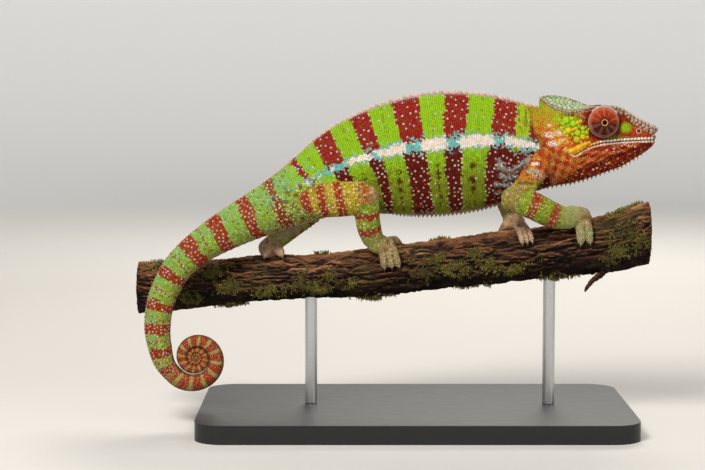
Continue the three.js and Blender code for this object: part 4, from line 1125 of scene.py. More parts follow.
# Painted shade: the skin's colour is darkened, with a fine grain, so that it shows dark in the gaps between
# the scales.
skin_gap_shade = tree.mix(1.0, group.outputs["Colour"], colour(0.34, 0.30, 0.27), "MULTIPLY")
link(tree, tree.mix(tree.math("MULTIPLY", grain, 0.4), skin_gap_shade, group.outputs["Colour"]), shader, "Base Color")
add_bump(tree, shader, grain, strength=0.4, distance=0.0002)
shader.inputs["Roughness"].default_value = 0.6
shader.inputs["Specular IOR Level"].default_value = 0.15
skin.data.materials.append(material)
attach(skin, "root")
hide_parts(*[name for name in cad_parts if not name.startswith(("eye", "perch", "stand"))])


# ---- Scales -------------------------------------------------------------------------------------
# Thousands of small grains of horn, grown out of the skin side by side: in rows round the trunk and
# the tail, and evenly spread on head, legs and feet. Each is a low dome with its rim sunk in the skin,
# and keeps clear of the mouth, the nostrils, the eyes and the grooves between the toes.

def body_spacing(length, thick):
    """Distance between neighbouring scales of the trunk and the tail, in millimetres."""
    tail = smooth(0, 60, length)
    return 1.05 * (1 - tail) + np.clip(thick * 0.09 + 0.33, 0.42, 1.0) * tail


def scale_spacing(points, place):
    """Distance between neighbouring scales anywhere on the skin."""
    spacing = body_spacing(place["s"], place["thick"])
    head = place["head"]
    spacing = spacing * (1 - head) + 1.1 * head
    roof = head * (points[:, 2] > crest_line(points[:, 0])) * (points[:, 0] < 88)
    spacing = np.where(roof > 0.5, 2.0, spacing)
    snout = smooth(98, 112, points[:, 0]) * head
    spacing = spacing * (1 - snout) + 1.05 * snout
    on_leg = 1.0 - 0.22 * smooth(1.4, 2.3, place["leg_place"])
    return spacing * (1 - place["leg"]) + on_leg * place["leg"]


def ring_points():
    """Rows of scales round the trunk and the tail: rings at right angles to the body, the scales of
    each ring set between those of the last one."""
    spots, length, ring = [], AXIS_LENGTH[0] + 0.5, 0
    turn = np.linspace(0, 2 * math.pi, 241)[:, None]
    while length < AXIS_LENGTH[-1] - 0.3:
        u = np.interp(length, AXIS_LENGTH, AXIS_U)
        centre, height, width, back, side, _ = (value[0] for value in body_frame(u))
        spacing = body_spacing(length, height)
        keel = 0.2 if u < TAIL_FROM else 0.1
        oval = centre + back * (height - COAT) * np.sin(turn)
        oval = oval + side * (width - COAT) * np.cos(turn) * (1 - keel * np.sin(turn))
        around = distances_along(oval)
        count = int(around[-1] / spacing)
        wanted = (np.arange(count) + ring % 2 * 0.5) / count * around[-1]
        spots.append(at_distances(wanted, around, oval))
        length += spacing * 0.87
        ring += 1
    return np.vstack(spots)


def push_apart(spots, reach, strength=0.32):
    """A small step for each point away from the neighbours that are closer than their reach."""
    count = len(spots)
    push = np.zeros_like(spots)
    cells = np.floor(spots / 2.0).astype(np.int64) + 1000
    key = (cells[:, 0] * 4096 + cells[:, 1]) * 4096 + cells[:, 2]
    order = np.argsort(key)
    sorted_key = key[order]
    nearest = np.full(count, 9.0)
    for dx, dy, dz in NEIGHBOURS:
        wanted = key + (dx * 4096 + dy) * 4096 + dz
        first = np.searchsorted(sorted_key, wanted, "left")
        number = np.searchsorted(sorted_key, wanted, "right") - first
        i = np.repeat(np.arange(count), number)
        within = np.arange(len(i)) - np.repeat(np.cumsum(number) - number, number)
        j = order[np.repeat(first, number) + within]
        apart = spots[i] - spots[j]
        distance = np.linalg.norm(apart, axis=1)
        wish = (reach[i] + reach[j]) * 0.56
        close = (distance < wish) & (i != j)
        i, apart, distance, wish = i[close], apart[close], distance[close], wish[close]
        np.minimum.at(nearest, i, distance / wish)
        force = apart / np.maximum(distance, 1e-4)[:, None] * ((wish - distance) * strength)[:, None]
        for axis in range(3):
            push[:, axis] += np.bincount(i, force[:, axis], count)
    return push, nearest


skin.data.calc_loop_triangles()
corners = np.zeros(len(skin.data.loop_triangles) * 3, np.int32)
skin.data.loop_triangles.foreach_get("vertices", corners)
corners = corners.reshape(-1, 3)
SKIN_SURFACE = BVHTree.FromPolygons(points_of(skin).tolist(), corners.tolist())


def on_surface(spots):
    """Nearest points of the skin, with its normals and the distances."""
    found = [SKIN_SURFACE.find_nearest(Vector(p)) for p in spots.tolist()]
    return tuple(np.array([hit[part] for hit in found]) for part in (0, 1, 3))


def spread_scales(points, corners):
    """Places and normals of all scales: rows on trunk and tail, and evenly spread ones elsewhere,
    drawn at random by area, pushed apart and put back on the surface."""
    rows, _, distance = on_surface(ring_points())
    rows = rows[distance < 1.5]
    place = locate(rows)
    rows = rows[(place["leg"] < 0.5) & (place["head"] < 0.5)]
    a, b, c = (points[corners[:, k]] for k in range(3))
    area = np.linalg.norm(np.cross(b - a, c - a), axis=1) / 2
    middle = (a + b + c) / 3
    place = locate(middle)
    elsewhere = (place["leg"] >= 0.5) | (place["head"] >= 0.5)
    weight = area / (0.866 * scale_spacing(middle, place) ** 2) * elsewhere
    count = int(weight.sum() * 1.02)
    chosen = rng.choice(len(weight), size=count, p=weight / weight.sum())
    r1, r2 = np.sqrt(rng.random(count))[:, None], rng.random(count)[:, None]
    spots = (1 - r1) * a[chosen] + r1 * (1 - r2) * b[chosen] + r1 * r2 * c[chosen]
    spots = np.vstack([rows, spots])
    free = np.arange(len(spots)) >= len(rows)
    for step in range(14):
        if step % 5 == 0:
            reach = scale_spacing(spots, locate(spots))
        push, _ = push_apart(spots, reach)
        spots[free] = on_surface(spots[free] + push[free])[0]
    _, nearest = push_apart(spots, reach)
    keep = ~free | (nearest > 0.5)
    spots, reach = spots[keep], reach[keep]
    for step in range(3):
        push, _ = push_apart(spots, reach, 0.12)
        spots, normals, _ = on_surface(spots + push)
    return spots, normals


scale_points, scale_normals = spread_scales(points_of(skin), corners)
print("scales", len(scale_points))


LOW_DOME = [(1.0, -0.35), (0.72, 0.72)]
HIGH_DOME = [(1.0, -0.5), (1.0, 0.12), (0.84, 0.58), (0.48, 0.90)]


def domes(name, points, normals, forward, long, across, height, profile, sides, shade_height_floor=0.0):
    """One dome on each point, from a rim sunk in the skin up to a top. forward lays its long axis."""
    count = len(points)
    forward = unit(forward - normals * (forward * normals).sum(1, keepdims=True))
    sideways = np.cross(normals, forward)
    angle = np.linspace(0, 2 * math.pi, sides, endpoint=False)
    verts = []
    for number, (reach, lift) in enumerate(profile):
        for a in angle + number % 2 * math.pi / sides:
            offset = forward * (np.cos(a) * reach * long)[:, None]
            offset = offset + sideways * (np.sin(a) * reach * across)[:, None]
            verts.append(points + offset + normals * (lift * height)[:, None])
    verts.append(points + normals * height[:, None])
    template = []
    for k in range(sides):
        for row in range(len(profile) - 1):
            n, base = (k + 1) % sides, row * sides
            turned = row % 2 == 0
            a, b, c, d = base + k, base + n, base + sides + n, base + sides + k
            template += [[a, b, d], [b, c, d]] if turned else [[a, b, c], [a, c, d]]
        base = (len(profile) - 1) * sides
        template.append([base + k, base + (k + 1) % sides, len(profile) * sides])
    per_piece = len(profile) * sides + 1
    faces = (np.arange(count)[:, None, None] * per_piece + np.array(template)).reshape(-1, 3)
    obj = new_object(name, np.stack(verts, 1).reshape(-1, 3), faces)
    # Height up each dome, 0 at the sunk rim and 1 at its top, which the material turns into painted shade at
    # the rim, in the gaps between the domes; the floor given for it lessens that painted shade.
    ring_shade_heights = [np.full(sides, np.clip((lift + 0.35) / 1.35, 0, 1)) for _, lift in profile]
    shade_height = np.concatenate(ring_shade_heights + [[1.0]])
    shade_height_floors = np.broadcast_to(shade_height_floor, (count,))[:, None]
    add_attribute(obj, "shade_height", np.maximum(shade_height[None, :], shade_height_floors), "FLOAT")
    flat_rings = [np.stack([reach * np.cos(angle), reach * np.sin(angle)], -1) for reach, _ in profile]
    shape = np.concatenate(flat_rings + [np.zeros((1, 2))])
    return obj, per_piece, shape


def patch_uv(obj, shape, places, size=0.003):
    """UV map OFBake: each dome is a small patch at its root's place."""
    mesh = obj.data
    layer = mesh.uv_layers.new(name="OFBake")
    loops = np.zeros(len(mesh.loops), np.int32)
    mesh.loops.foreach_get("vertex_index", loops)
    uv = places[loops // len(shape)] + shape[loops % len(shape)] * size / 2
    layer.data.foreach_set("uv", np.clip(uv, 0, 1).astype(np.float32).ravel())


def unwrap(place):
    """Place of a point on a flat unwrap of the skin: length along the animal against the way round."""
    around = np.arctan2(place["v"], place["w"]) / (2 * math.pi) + 0.5
    along = (place["s"] - AXIS_LENGTH[0]) / (AXIS_LENGTH[-1] - AXIS_LENGTH[0])
    return np.stack([along, around], -1)


def fitted(uv):
    """The unwrap's used part, spread over the whole map."""
    low, high = uv.min(0), uv.max(0)
    return 0.01 + 0.98 * (uv - low) / np.maximum(high - low, 1e-6)


scale_place = locate(scale_points)
scale_dice = rng.random((len(scale_points), 3))
scale_place["dot"] = choose_dots(scale_points, scale_place, scale_dice)
scale_share = paint(scale_points, scale_place, scale_dice)
scale_size = scale_spacing(scale_points, scale_place)
on_trunk_size = np.where(scale_place["s"] > 5, 0.35, 1)
dot_size = scale_place["dot"] * rng.uniform(-0.5, 1.0, len(scale_points)) * on_trunk_size
scale_radius = scale_size * rng.uniform(0.55, 0.64, len(scale_points)) * (1 + 0.20 * dot_size)
scale_height = scale_size * rng.uniform(0.18, 0.25, len(scale_points)) * (1 + 0.7 * dot_size)
on_roof = scale_place["head"] * scale_share[:, COLOURS.index("teal")]
scale_height *= 1 - 0.45 * on_roof
scale_radius *= 1 - 0.16 * on_roof
even = np.clip(scale_share[:, COLOURS.index("lime")] * smooth(-0.1, 0.3, scale_place["v"])
               + scale_share[:, COLOURS.index("white")], 0, 1)
# The even pale and green scales get less painted shade at their rims.
scale_shade_height_floor = 0.05 + 0.26 * even
scale_place["tone"] = 0.5 + (rng.random(len(scale_points)) - 0.5) * (1 - 0.55 * even)
scale_place["tone_hue"] = rng.random(len(scale_points))

material, tree, shader = new_material("scales")
group = tree.add("ShaderNodeGroup", node_tree=MARKINGS)
shade_height = tree.attribute("shade_height", "Fac")
# Painted shade: each dome's sunk rim is darkened and its top kept bright, so that the gaps between the scales
# read dark.
rim = tree.ramp(shade_height, [
    (0.0, colour(0.16, 0.13, 0.12)), (0.5, colour(0.70, 0.68, 0.66)), (0.85, colour(1, 1, 1))])
grain = tree.noise(2500, 3)
gap_shaded = tree.mix(1.0, group.outputs["Colour"], rim, "MULTIPLY")
specked = tree.mix(tree.math("MULTIPLY", grain, 0.22), gap_shaded, colour(0.02, 0.015, 0.01))
link(tree, specked, shader, "Base Color")
add_bump(tree, shader, grain, strength=0.25, distance=0.0001)
link(tree, tree.linear(group.outputs["Tone"], 0.12, 0.46), shader, "Roughness")
shader.inputs["Specular IOR Level"].default_value = 0.03
SCALE_MATERIAL = material


def scale_piece(name, chosen):
    points, normals = scale_points[chosen], scale_normals[chosen]
    obj, per_piece, shape = domes(name, points, normals, scale_place["along"][chosen], scale_radius[chosen],
                                  scale_radius[chosen], scale_height[chosen], LOW_DOME, 6, scale_shade_height_floor[chosen])
    values = (scale_share, scale_place["tone"], scale_place["tone_hue"])
    store_shares(obj, *(np.repeat(value[chosen], per_piece, 0) for value in values))
    place = {key: value[chosen] for key, value in scale_place.items()}
    patch_uv(obj, shape, fitted(unwrap(place)))
    obj.data.materials.append(SCALE_MATERIAL)
    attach(obj, "root")
    print(name, len(obj.data.polygons))
    return obj


# Bare places: under the eye turrets and along the mouth.
eye_distance = np.hypot(scale_points[:, 0] - EYE["centre"][0], scale_points[:, 2] - EYE["centre"][2])
covered = (eye_distance < EYE["radius"] - 0.2) & (np.abs(scale_points[:, 1]) > 5)
mouth_distance, mouth_place = line_distance(scale_points, MOUTH)
covered |= (mouth_distance < 0.45) & (mouth_place > 0.02) & (scale_place["head"] > 0.5)
covered |= np.hypot(scale_points[:, 0] - NOSTRIL[0], scale_points[:, 2] - NOSTRIL[1]) < 1.0
covered |= scale_place["gap"] > 0.85
on_leg = scale_place["leg"] > 0.5
on_foot = on_leg & (scale_place["leg_place"] > 2.0)
on_head = ~on_leg & (scale_place["head"] > 0.5)
on_tail = ~on_leg & ~on_head & (scale_place["s"] > 0)
on_trunk = ~on_leg & ~on_head & ~on_tail
near_side = scale_points[:, 1] < 0
axis_row = np.searchsorted(AXIS_U, scale_place["u"]).clip(0, AXIS_STEPS - 1)
tail_near = scale_points[:, 1] < AXIS_POINTS[axis_row, 1]
scale_piece("scales_trunk_right", on_trunk & near_side)
scale_piece("scales_trunk_left", on_trunk & ~near_side)
scale_piece("scales_head", on_head & ~covered)
scale_piece("scales_tail_right", on_tail & tail_near)
scale_piece("scales_tail_left", on_tail & ~tail_near)
scale_piece("scales_legs", on_leg & ~on_foot)
scale_piece("scales_feet", on_foot & ~covered)


# ---- Plates and beads of the head ---------------------------------------------------------------
# Larger plates and beads of horn, grown like the scales and standing out from them: round ones on the
# cheek, a row along each lip, a brow over each eye, and beads on the casque and the snout.

def on_side(x, z, side):
    """Point and normal of the skin at x, z on one side: -1 the right, 1 the left."""
    hit = SKIN_SURFACE.ray_cast(Vector((x, side * 60, z)), Vector((0, -side, 0)))
    if hit[0] is None:
        found = SKIN_SURFACE.find_nearest(Vector((x, side * 2, z)))
        return np.array(found[0]), np.array(found[1])
    return np.array(hit[0]), np.array(hit[1])


def nearest_skin(point):
    found = SKIN_SURFACE.find_nearest(Vector(point))
    return np.array(found[0]), np.array(found[1])


def mixed(**parts):
    """Share row from named amounts, such as mixed(lime=0.7, yellow=0.3)."""
    row = np.zeros(len(COLOURS))
    for name, amount in parts.items():
        row[COLOURS.index(name)] = amount
    return row


class Bumps:
    """Collects single plates, beads and spines, and builds them as one piece."""

    def __init__(self):
        self.rows = []

    def add(self, point, normal, forward, long, across, height, share, sink=0.0):
        self.rows.append((np.asarray(point) - np.asarray(normal) * sink, normal, forward, long, across,
                          height, share))

    def lay(self, x, z, side, *shape):
        """One bump on the skin at x, z of one side."""
        self.add(*on_side(x, z, side), *shape)

    def build(self, name, profile=HIGH_DOME, sides=10, material=None, shade_height_floor=0.0):
        point, normal, forward, long, across, height, share = (np.array(c, float) for c in zip(*self.rows))
        obj, per_piece, shape = domes(name, point, normal, forward, long, across, height, profile, sides,
                                      shade_height_floor)
        store_shares(obj, np.repeat(share, per_piece, 0), np.repeat(rng.random(len(point)), per_piece),
                     np.repeat(rng.random(len(point)), per_piece))
        patch_uv(obj, shape, fitted(unwrap(locate(point))), 0.006)
        obj.data.materials.append(material or SCALE_MATERIAL)
        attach(obj, "root")
        print(name, len(obj.data.polygons))
        return obj


def between(first, second, t):
    """Share row that goes from the first to the second as t goes from 0 to 1."""
    return first * (1 - t) + second * t


def along_line(line, pitch):
    """Points at an even pitch along a smooth line, with their directions and place 0 to 1."""
    fine = spline(line, np.linspace(0, len(line) - 1, 600))
    length = distances_along(fine)
    count = max(int(length[-1] / pitch), 2)
    wanted = np.linspace(0, length[-1], count)
    ahead, behind = (at_distances(wanted + step, length, fine) for step in (0.1, -0.1))
    return at_distances(wanted, length, fine), unit(ahead - behind), wanted / length[-1]


plates = Bumps()

# Cheek: a cluster of large round lime and yellow plates, with smaller orange ones below it.
CHEEK = [
    (72.3, 149.0, 1.75, "lime"), (71.0, 147.6, 1.1, "lime"), (75.7, 147.4, 1.5, "lime"),
    (73.3, 146.5, 0.9, "lime"), (77.7, 147.8, 1.0, "gold"), (79.2, 148.6, 0.9, "gold"),
    (73.4, 144.2, 1.5, "gold"), (75.7, 144.6, 0.9, "orange"), (77.9, 143.0, 1.5, "lime"),
    (80.4, 143.4, 0.9, "lime"), (80.4, 141.1, 1.4, "gold"), (82.2, 143.2, 1.2, "lime"),
    (77.5, 139.8, 1.6, "gold"), (75.4, 142.4, 1.0, "lime"), (80.3, 145.2, 1.1, "lime"),
    (74.0, 140.2, 1.0, "orange"), (73.2, 138.5, 0.9, "orange"), (72.9, 141.6, 0.9, "gold"),
    (70.8, 141.0, 0.8, "orange"), (71.7, 143.1, 0.9, "gold"), (78.6, 146.1, 0.9, "lime"),
    (81.9, 145.8, 0.8, "lime"), (70.2, 145.4, 0.9, "lime"), (69.3, 149.2, 0.9, "lime"),
    (74.9, 150.0, 0.8, "gold"), (82.6, 141.0, 0.8, "gold"), (75.3, 138.0, 0.8, "orange"),
    (79.6, 138.6, 0.8, "orange"), (71.6, 145.6, 0.7, "lime"), (83.2, 144.8, 0.7, "gold"),
    (77.0, 145.2, 0.8, "gold"), (79.2, 141.9, 0.7, "orange"),
]
PLATE_COLOURS = {
    "lime": mixed(lime=0.85, yellow=0.15), "gold": mixed(lime=0.45, yellow=0.55),
    "orange": mixed(orange=0.7, yellow=0.3),
}
# Warm patch of the corner of the mouth: a smooth swollen fold in two rows.
MOUTH_CORNER = [
    (73.4, 134.6, 1.0), (75.0, 134.4, 1.4), (76.7, 135.0, 1.6), (78.3, 135.9, 1.5), (80.0, 136.9, 1.4),
    (81.7, 137.7, 1.2), (83.4, 138.3, 0.95), (76.4, 133.5, 1.0), (78.2, 134.3, 1.1), (79.8, 135.3, 1.0),
    (81.2, 136.4, 0.9),
]
for side in (-1, 1):
    for x, z, radius, tint in CHEEK:
        plates.lay(x, z, side, (1, 0, 0), radius * 1.14, radius * 1.14, radius * 0.66, PLATE_COLOURS[tint])
    for x, z, radius in MOUTH_CORNER:
        gold = mixed(yellow=0.85, orange=0.15)
        plates.lay(x, z, side, (0.85, 0, 0.5), radius * 1.25, radius, radius * 0.75, gold)
    for x, z in ((71.7, 134.9), (72.6, 134.0), (72.4, 135.6)):
        plates.lay(x, z, side, (1, 0, 0), 0.75, 0.65, 0.4, mixed(white=0.3, tan=0.4, yellow=0.3))

LIP = [
    (77.6, 132.7), (80.5, 134.7), (84.5, 136.6), (89.4, 137.9), (94.4, 138.5), (99.4, 138.9), (109.4, 139.3),
    (116.6, 139.4),
]
for side in (-1, 1):
    # Upper lip: a row of white labial plates, gold towards the corner, with a finer row above.
    spots, ahead, t = along_line([(x, z + 0.80) for x, z in LIP[2:]], 1.55)
    for (x, z), (dx, dz), place_on in zip(spots, ahead, t):
        tint = between(mixed(white=0.8, pearl=0.2), mixed(yellow=0.75, orange=0.25),
                       smooth(0.25, 0.0, place_on))
        plates.lay(x, z, side, (dx, 0, dz), 0.94, 0.66 + 0.18 * place_on, 0.55 + 0.2 * place_on, tint)
    # Lower lip: a row of pale plates that starts round the corner.
    lower_lip = [(73.9, 133.7), (75.6, 132.0)] + [(x + 0.2, z - 0.82) for x, z in LIP]
    spots, ahead, t = along_line(lower_lip, 1.5)
    for (x, z), (dx, dz), place_on in zip(spots, ahead, t):
        pale, warm = mixed(white=0.58, tan=0.24, orange=0.18), mixed(yellow=0.3, white=0.5, orange=0.2)
        tint = between(pale, warm, smooth(0.3, 0.1, place_on))
        plates.lay(x, z, side, (dx, 0, dz), 0.98, 0.62, 0.48, tint)
    # Pink bumps below the lower lip.
    for x, z in ((99.8, 136.6), (101.5, 137.2), (103.3, 136.5), (106.5, 136.2), (96.0, 135.2), (92.5, 134.4)):
        plates.lay(x, z, side, (1, 0, 0), 0.8, 0.7, 0.45, mixed(pearl=0.5, orange=0.5))

# Casque and snout: beads along the side crest, a second row inside it, and the ridge of the roof.
# Rows of beads beside that crest: shift inwards, or downwards where negative, first and last x, radius.
BEAD_ROWS = [
    (1.25, 61.5, 88, 0.5), (-1.3, 64, 84, 0.5), (-1.9, 95, 116, 0.82), (1.9, 92, 115.5, 0.9),
    (3.7, 98, 114.5, 0.9), (-3.4, 104, 115.5, 0.7), (5.3, 101, 110, 0.8),
]
# Short second crest behind the eye.
TEMPLE = [
    (70.5, 152.0, 0.55, "olive"), (72.0, 151.8, 0.6, "olive"), (73.6, 151.7, 0.6, "red"),
    (75.2, 151.9, 0.6, "red"), (76.8, 152.2, 0.65, "tan"), (78.2, 152.3, 0.7, "tan"),
    (79.3, 151.6, 0.7, "tan"), (80.3, 150.9, 0.65, "tan"), (81.1, 150.1, 0.6, "tan"),
]
BROW_REACH = 7.6
HEAD_STEPS = 400
head_fine = spline(HEAD, np.linspace(0, len(HEAD) - 1, HEAD_STEPS))
for side in (-1, 1):
    crest = np.stack([head_fine[:, 0], side * head_fine[:, 2], head_fine[:, 3]], -1)[4:]
    back_spots, back_ahead, _ = along_line(crest[crest[:, 0] < 93], 1.3)
    front_spots, front_ahead, _ = along_line(crest[crest[:, 0] > 94], 1.85)
    for spot, forward in zip(np.vstack([back_spots, front_spots]), np.vstack([back_ahead, front_ahead])):
        point, normal = nearest_skin(spot)
        forwardness = smooth(90, 98, spot[0])
        radius = 0.66 + 0.30 * forwardness + 0.12 * smooth(106, 114, spot[0]) + rng.uniform(-0.08, 0.08)
        outward = unit(np.array([0, side * 0.8, 0.6]) + normal * 0.6)
        tint = between(mixed(pearl=0.42, tan=0.28, dark=0.3),
                       mixed(pearl=0.55, tan=0.25, red=0.08, dark=0.12),
                       forwardness)
        height = radius * (1.15 + 0.2 * forwardness)
        plates.add(point, outward, forward, radius * 1.08, radius, height, tint, 0.1)
    for shift, first, last, size in BEAD_ROWS:
        inner = crest[(crest[:, 0] > first) & (crest[:, 0] < last)]
        inner = inner + np.array([0, -side * max(shift, 0), 0.2 if shift > 0 else shift])
        spots, ahead, t = along_line(inner, size * 2.35)
        for spot, forward in zip(spots, ahead):
            if side * spot[1] < 0.2 and shift > 0:
                continue
            forwardness = smooth(92, 108, spot[0])
            point, normal = nearest_skin(spot + rng.uniform(-0.45, 0.45, 3) * forwardness)
            radius = size * rng.uniform(0.74, 1.22) * (1 + 0.36 * smooth(102, 113, spot[0]))
            tint = between(mixed(pearl=0.28, dark=0.35, tan=0.37),
                           mixed(pearl=0.48, tan=0.26, red=0.12, dark=0.14), forwardness)
            height = radius * (0.8 + 0.45 * forwardness)
            plates.add(point, normal, forward, radius * 1.05, radius, height, tint)
    # Brow: the row goes on over the upper edge of the eye and overhangs it a little.
    bulge = EYE["depth"] * math.sqrt(1 - (BROW_REACH / (EYE["radius"] + 0.01)) ** 2)
    for turn in np.radians(np.arange(36, 135, 7.5)):
        cosine, sine = math.cos(turn), math.sin(turn)
        spot = np.array(EYE["centre"]) * [1, side, 1] + [BROW_REACH * cosine, side * bulge, BROW_REACH * sine]
        outward = unit(np.array([cosine * 0.7, side * 0.8, sine * 0.7]))
        plates.add(spot, outward, (-sine, 0, cosine), 0.66, 0.58, 0.6, mixed(pearl=0.62, tan=0.25, dark=0.13))
    for x, z, radius, tint in TEMPLE:
        share = mixed(dark=0.3, **{tint: 0.7})
        plates.lay(x, z, side, (1, 0, -0.3), radius * 1.1, radius, radius * 0.9, share)
    # Nostril: a ring of small pink beads.
    for angle in np.linspace(0, 2 * math.pi, 15)[:-1]:
        x, z = NOSTRIL[0] + 1.15 * math.cos(angle), NOSTRIL[1] + 1.15 * math.sin(angle)
        plates.lay(x, z, side, (-math.sin(angle), 0, math.cos(angle)), 0.42, 0.36, 0.45,
                   mixed(pearl=0.6, orange=0.4))
    # Green rosette ahead of the eye.
    for ring, number in ((0.0, 1), (0.75, 6), (1.45, 10)):
        for angle in np.linspace(0, 2 * math.pi, number + 1)[:-1] + ring:
            plates.lay(102.0 + ring * math.cos(angle), 145.2 + ring * math.sin(angle) * 0.95, side,
                       (math.cos(angle), 0, math.sin(angle)), 0.5, 0.38, 0.4, mixed(lime=0.85, yellow=0.15))

ridge = np.stack([head_fine[:, 0], np.zeros(HEAD_STEPS), head_fine[:, 1]], -1)
ridge = ridge[(ridge[:, 0] > 61.2) & (ridge[:, 0] < 87.5)]
spots, ahead, t = along_line(ridge, 1.2)
for spot, forward in zip(spots, ahead):
    point, normal = nearest_skin(spot)
    plates.add(point, (0, 0, 1), forward, 0.66, 0.6, 0.75, mixed(pearl=0.55, maroon=0.2, tan=0.25), 0.1)
# Rounded knob at the tip of the snout.
KNOB = [
    (0, 0.2, 1.1), (0.9, -0.1, 1.0), (-0.9, -0.1, 1.0), (0.45, 1.1, 1.0), (-0.45, 1.1, 1.0), (0, -1.1, 0.9),
]
for angle, lift, radius in KNOB:
    spot = np.array([117.0 * math.cos(angle * 0.02), 2.0 * math.sin(angle), 144.2 + lift])
    point, normal = nearest_skin(spot)
    outward, tint = unit(normal + [0.5, 0, 0.1]), mixed(pearl=0.55, tan=0.35, red=0.1)
    plates.add(point, outward, (0, 1, 0), radius, radius, radius * 0.8, tint)
# Beads up the back edge of the casque.
for side in (-1, 1):
    for t in np.linspace(0, 1, 6):
        point, normal = nearest_skin((60.9, side * 1.8 * (1 - t), 159.8 + 0.8 * t))
        outward = unit(np.array([-0.8, side * 0.3, 0.5]))
        plates.add(point, outward, (0, 1, 0), 0.62, 0.6, 0.7, mixed(pearl=0.6, tan=0.4))
plates.build("head_plates", shade_height_floor=0.18)


# ---- Nostrils and the line of the mouth ---------------------------------------------------------
# Two small open pits in the sides of the snout, and the dark seam where the closed lips meet. Both
# are hollows of bare skin, and are low dark domes here, almost flush with the skin; their near-black
# colour is painted shade for the depth of the hollows.

dark = Bumps()
for side in (-1, 1):
    dark.lay(*NOSTRIL, side, (1, 0, 0), 1.0, 0.92, 0.12, mixed(dark=1.0))
    spots, ahead, t = along_line(LIP, 0.9)
    for (x, z), (dx, dz) in zip(spots, ahead):
        dark.lay(x, z, side, (dx, 0, dz), 0.62, 0.36, 0.10, mixed(dark=1.0))
material, tree, shader = new_material("pits")
grain = tree.noise(1500, 3)
painted_hollow_shade = tree.ramp(grain, [(0, colour(0.012, 0.006, 0.005)), (1, colour(0.035, 0.016, 0.012))])
link(tree, painted_hollow_shade, shader, "Base Color")
shader.inputs["Roughness"].default_value = 0.7
dark.build("head_pits", LOW_DOME, 8, material)


# ---- Crests -------------------------------------------------------------------------------------
# Soft cones of skin and horn in one row along the back, the tail, the belly and the throat. Each
# grows on the midline and leans back a little, and they get smaller towards the end of a row.

SPINE = [(1.0, -0.22), (0.92, 0.08), (0.64, 0.40), (0.34, 0.72)]
TALLEST = 2.5
spines = Bumps()
station = 0.55
while station < COIL_ROW + 12:
    centre, height, width, back, side, ahead = (value[0] for value in body_frame([station]))
    length = np.interp(station, AXIS_U, AXIS_LENGTH)
    taper = 0.55 + 0.15 * station if station < 3 else min(1, max(1 - (station - 7) * 0.115, 0.22))
    size = TALLEST * taper * rng.uniform(0.88, 1.12)
    lean = unit(back + ahead * 0.30)
    top = centre + back * (height - COAT - 0.1)
    size = min(size, height * 0.35)
    half = 0.50 + 0.44 * size
    pale, tawny = mixed(pearl=0.45, white=0.27, orange=0.28), mixed(pearl=0.4, tan=0.2, orange=0.4)
    tint = pale if length < 20 else tawny
    if size > 0.25:
        spines.add(top, lean, ahead, half, 0.45 + 0.24 * size, size, tint)
    pitch = half * 1.78
    station = np.interp(length + pitch, AXIS_LENGTH, AXIS_U)
for x in np.arange(-18, 41, 2.15):
    u = np.interp(-x, -AXIS_POINTS[:, 0], AXIS_U)
    centre, height, width, back, side, ahead = (value[0] for value in body_frame([u]))
    size = 1.45 * smooth(-22, -8, x) * smooth(46, 36, x) + 0.3
    spines.add(centre - back * (height - COAT - 0.1), unit(-back + ahead * 0.25), ahead, 0.62 + 0.28 * size,
               0.6, size, mixed(pearl=0.6, tan=0.3, orange=0.1))
throat = np.stack([head_fine[:, 0], np.zeros(HEAD_STEPS), head_fine[:, 10]], -1)
spots, ahead, t = along_line(throat[throat[:, 0] < 112.5], 2.05)
for spot, forward, place_on in zip(spots, ahead, t):
    point, normal = nearest_skin(spot)
    down = unit(np.array([forward[2], 0, -forward[0]]) + np.array([-0.35, 0, 0]))
    size = 1.35 * smooth(0, 0.12, place_on) * smooth(1.06, 0.9, place_on) + 0.4
    spines.add(point, down, forward, 0.72, 0.55, size, mixed(pearl=0.55, tan=0.1, orange=0.35), 0.1)
spines.build("crest_spines", SPINE, 8, shade_height_floor=0.42)


# ---- Eyes ---------------------------------------------------------------------------------------
# Lids that have grown together into a turret over each eye, covered with rings of fine scales round a
# small opening. The wet, glossy eyeball sits under them in its socket and shows only there.

CENTRE = np.array(EYE["centre"])


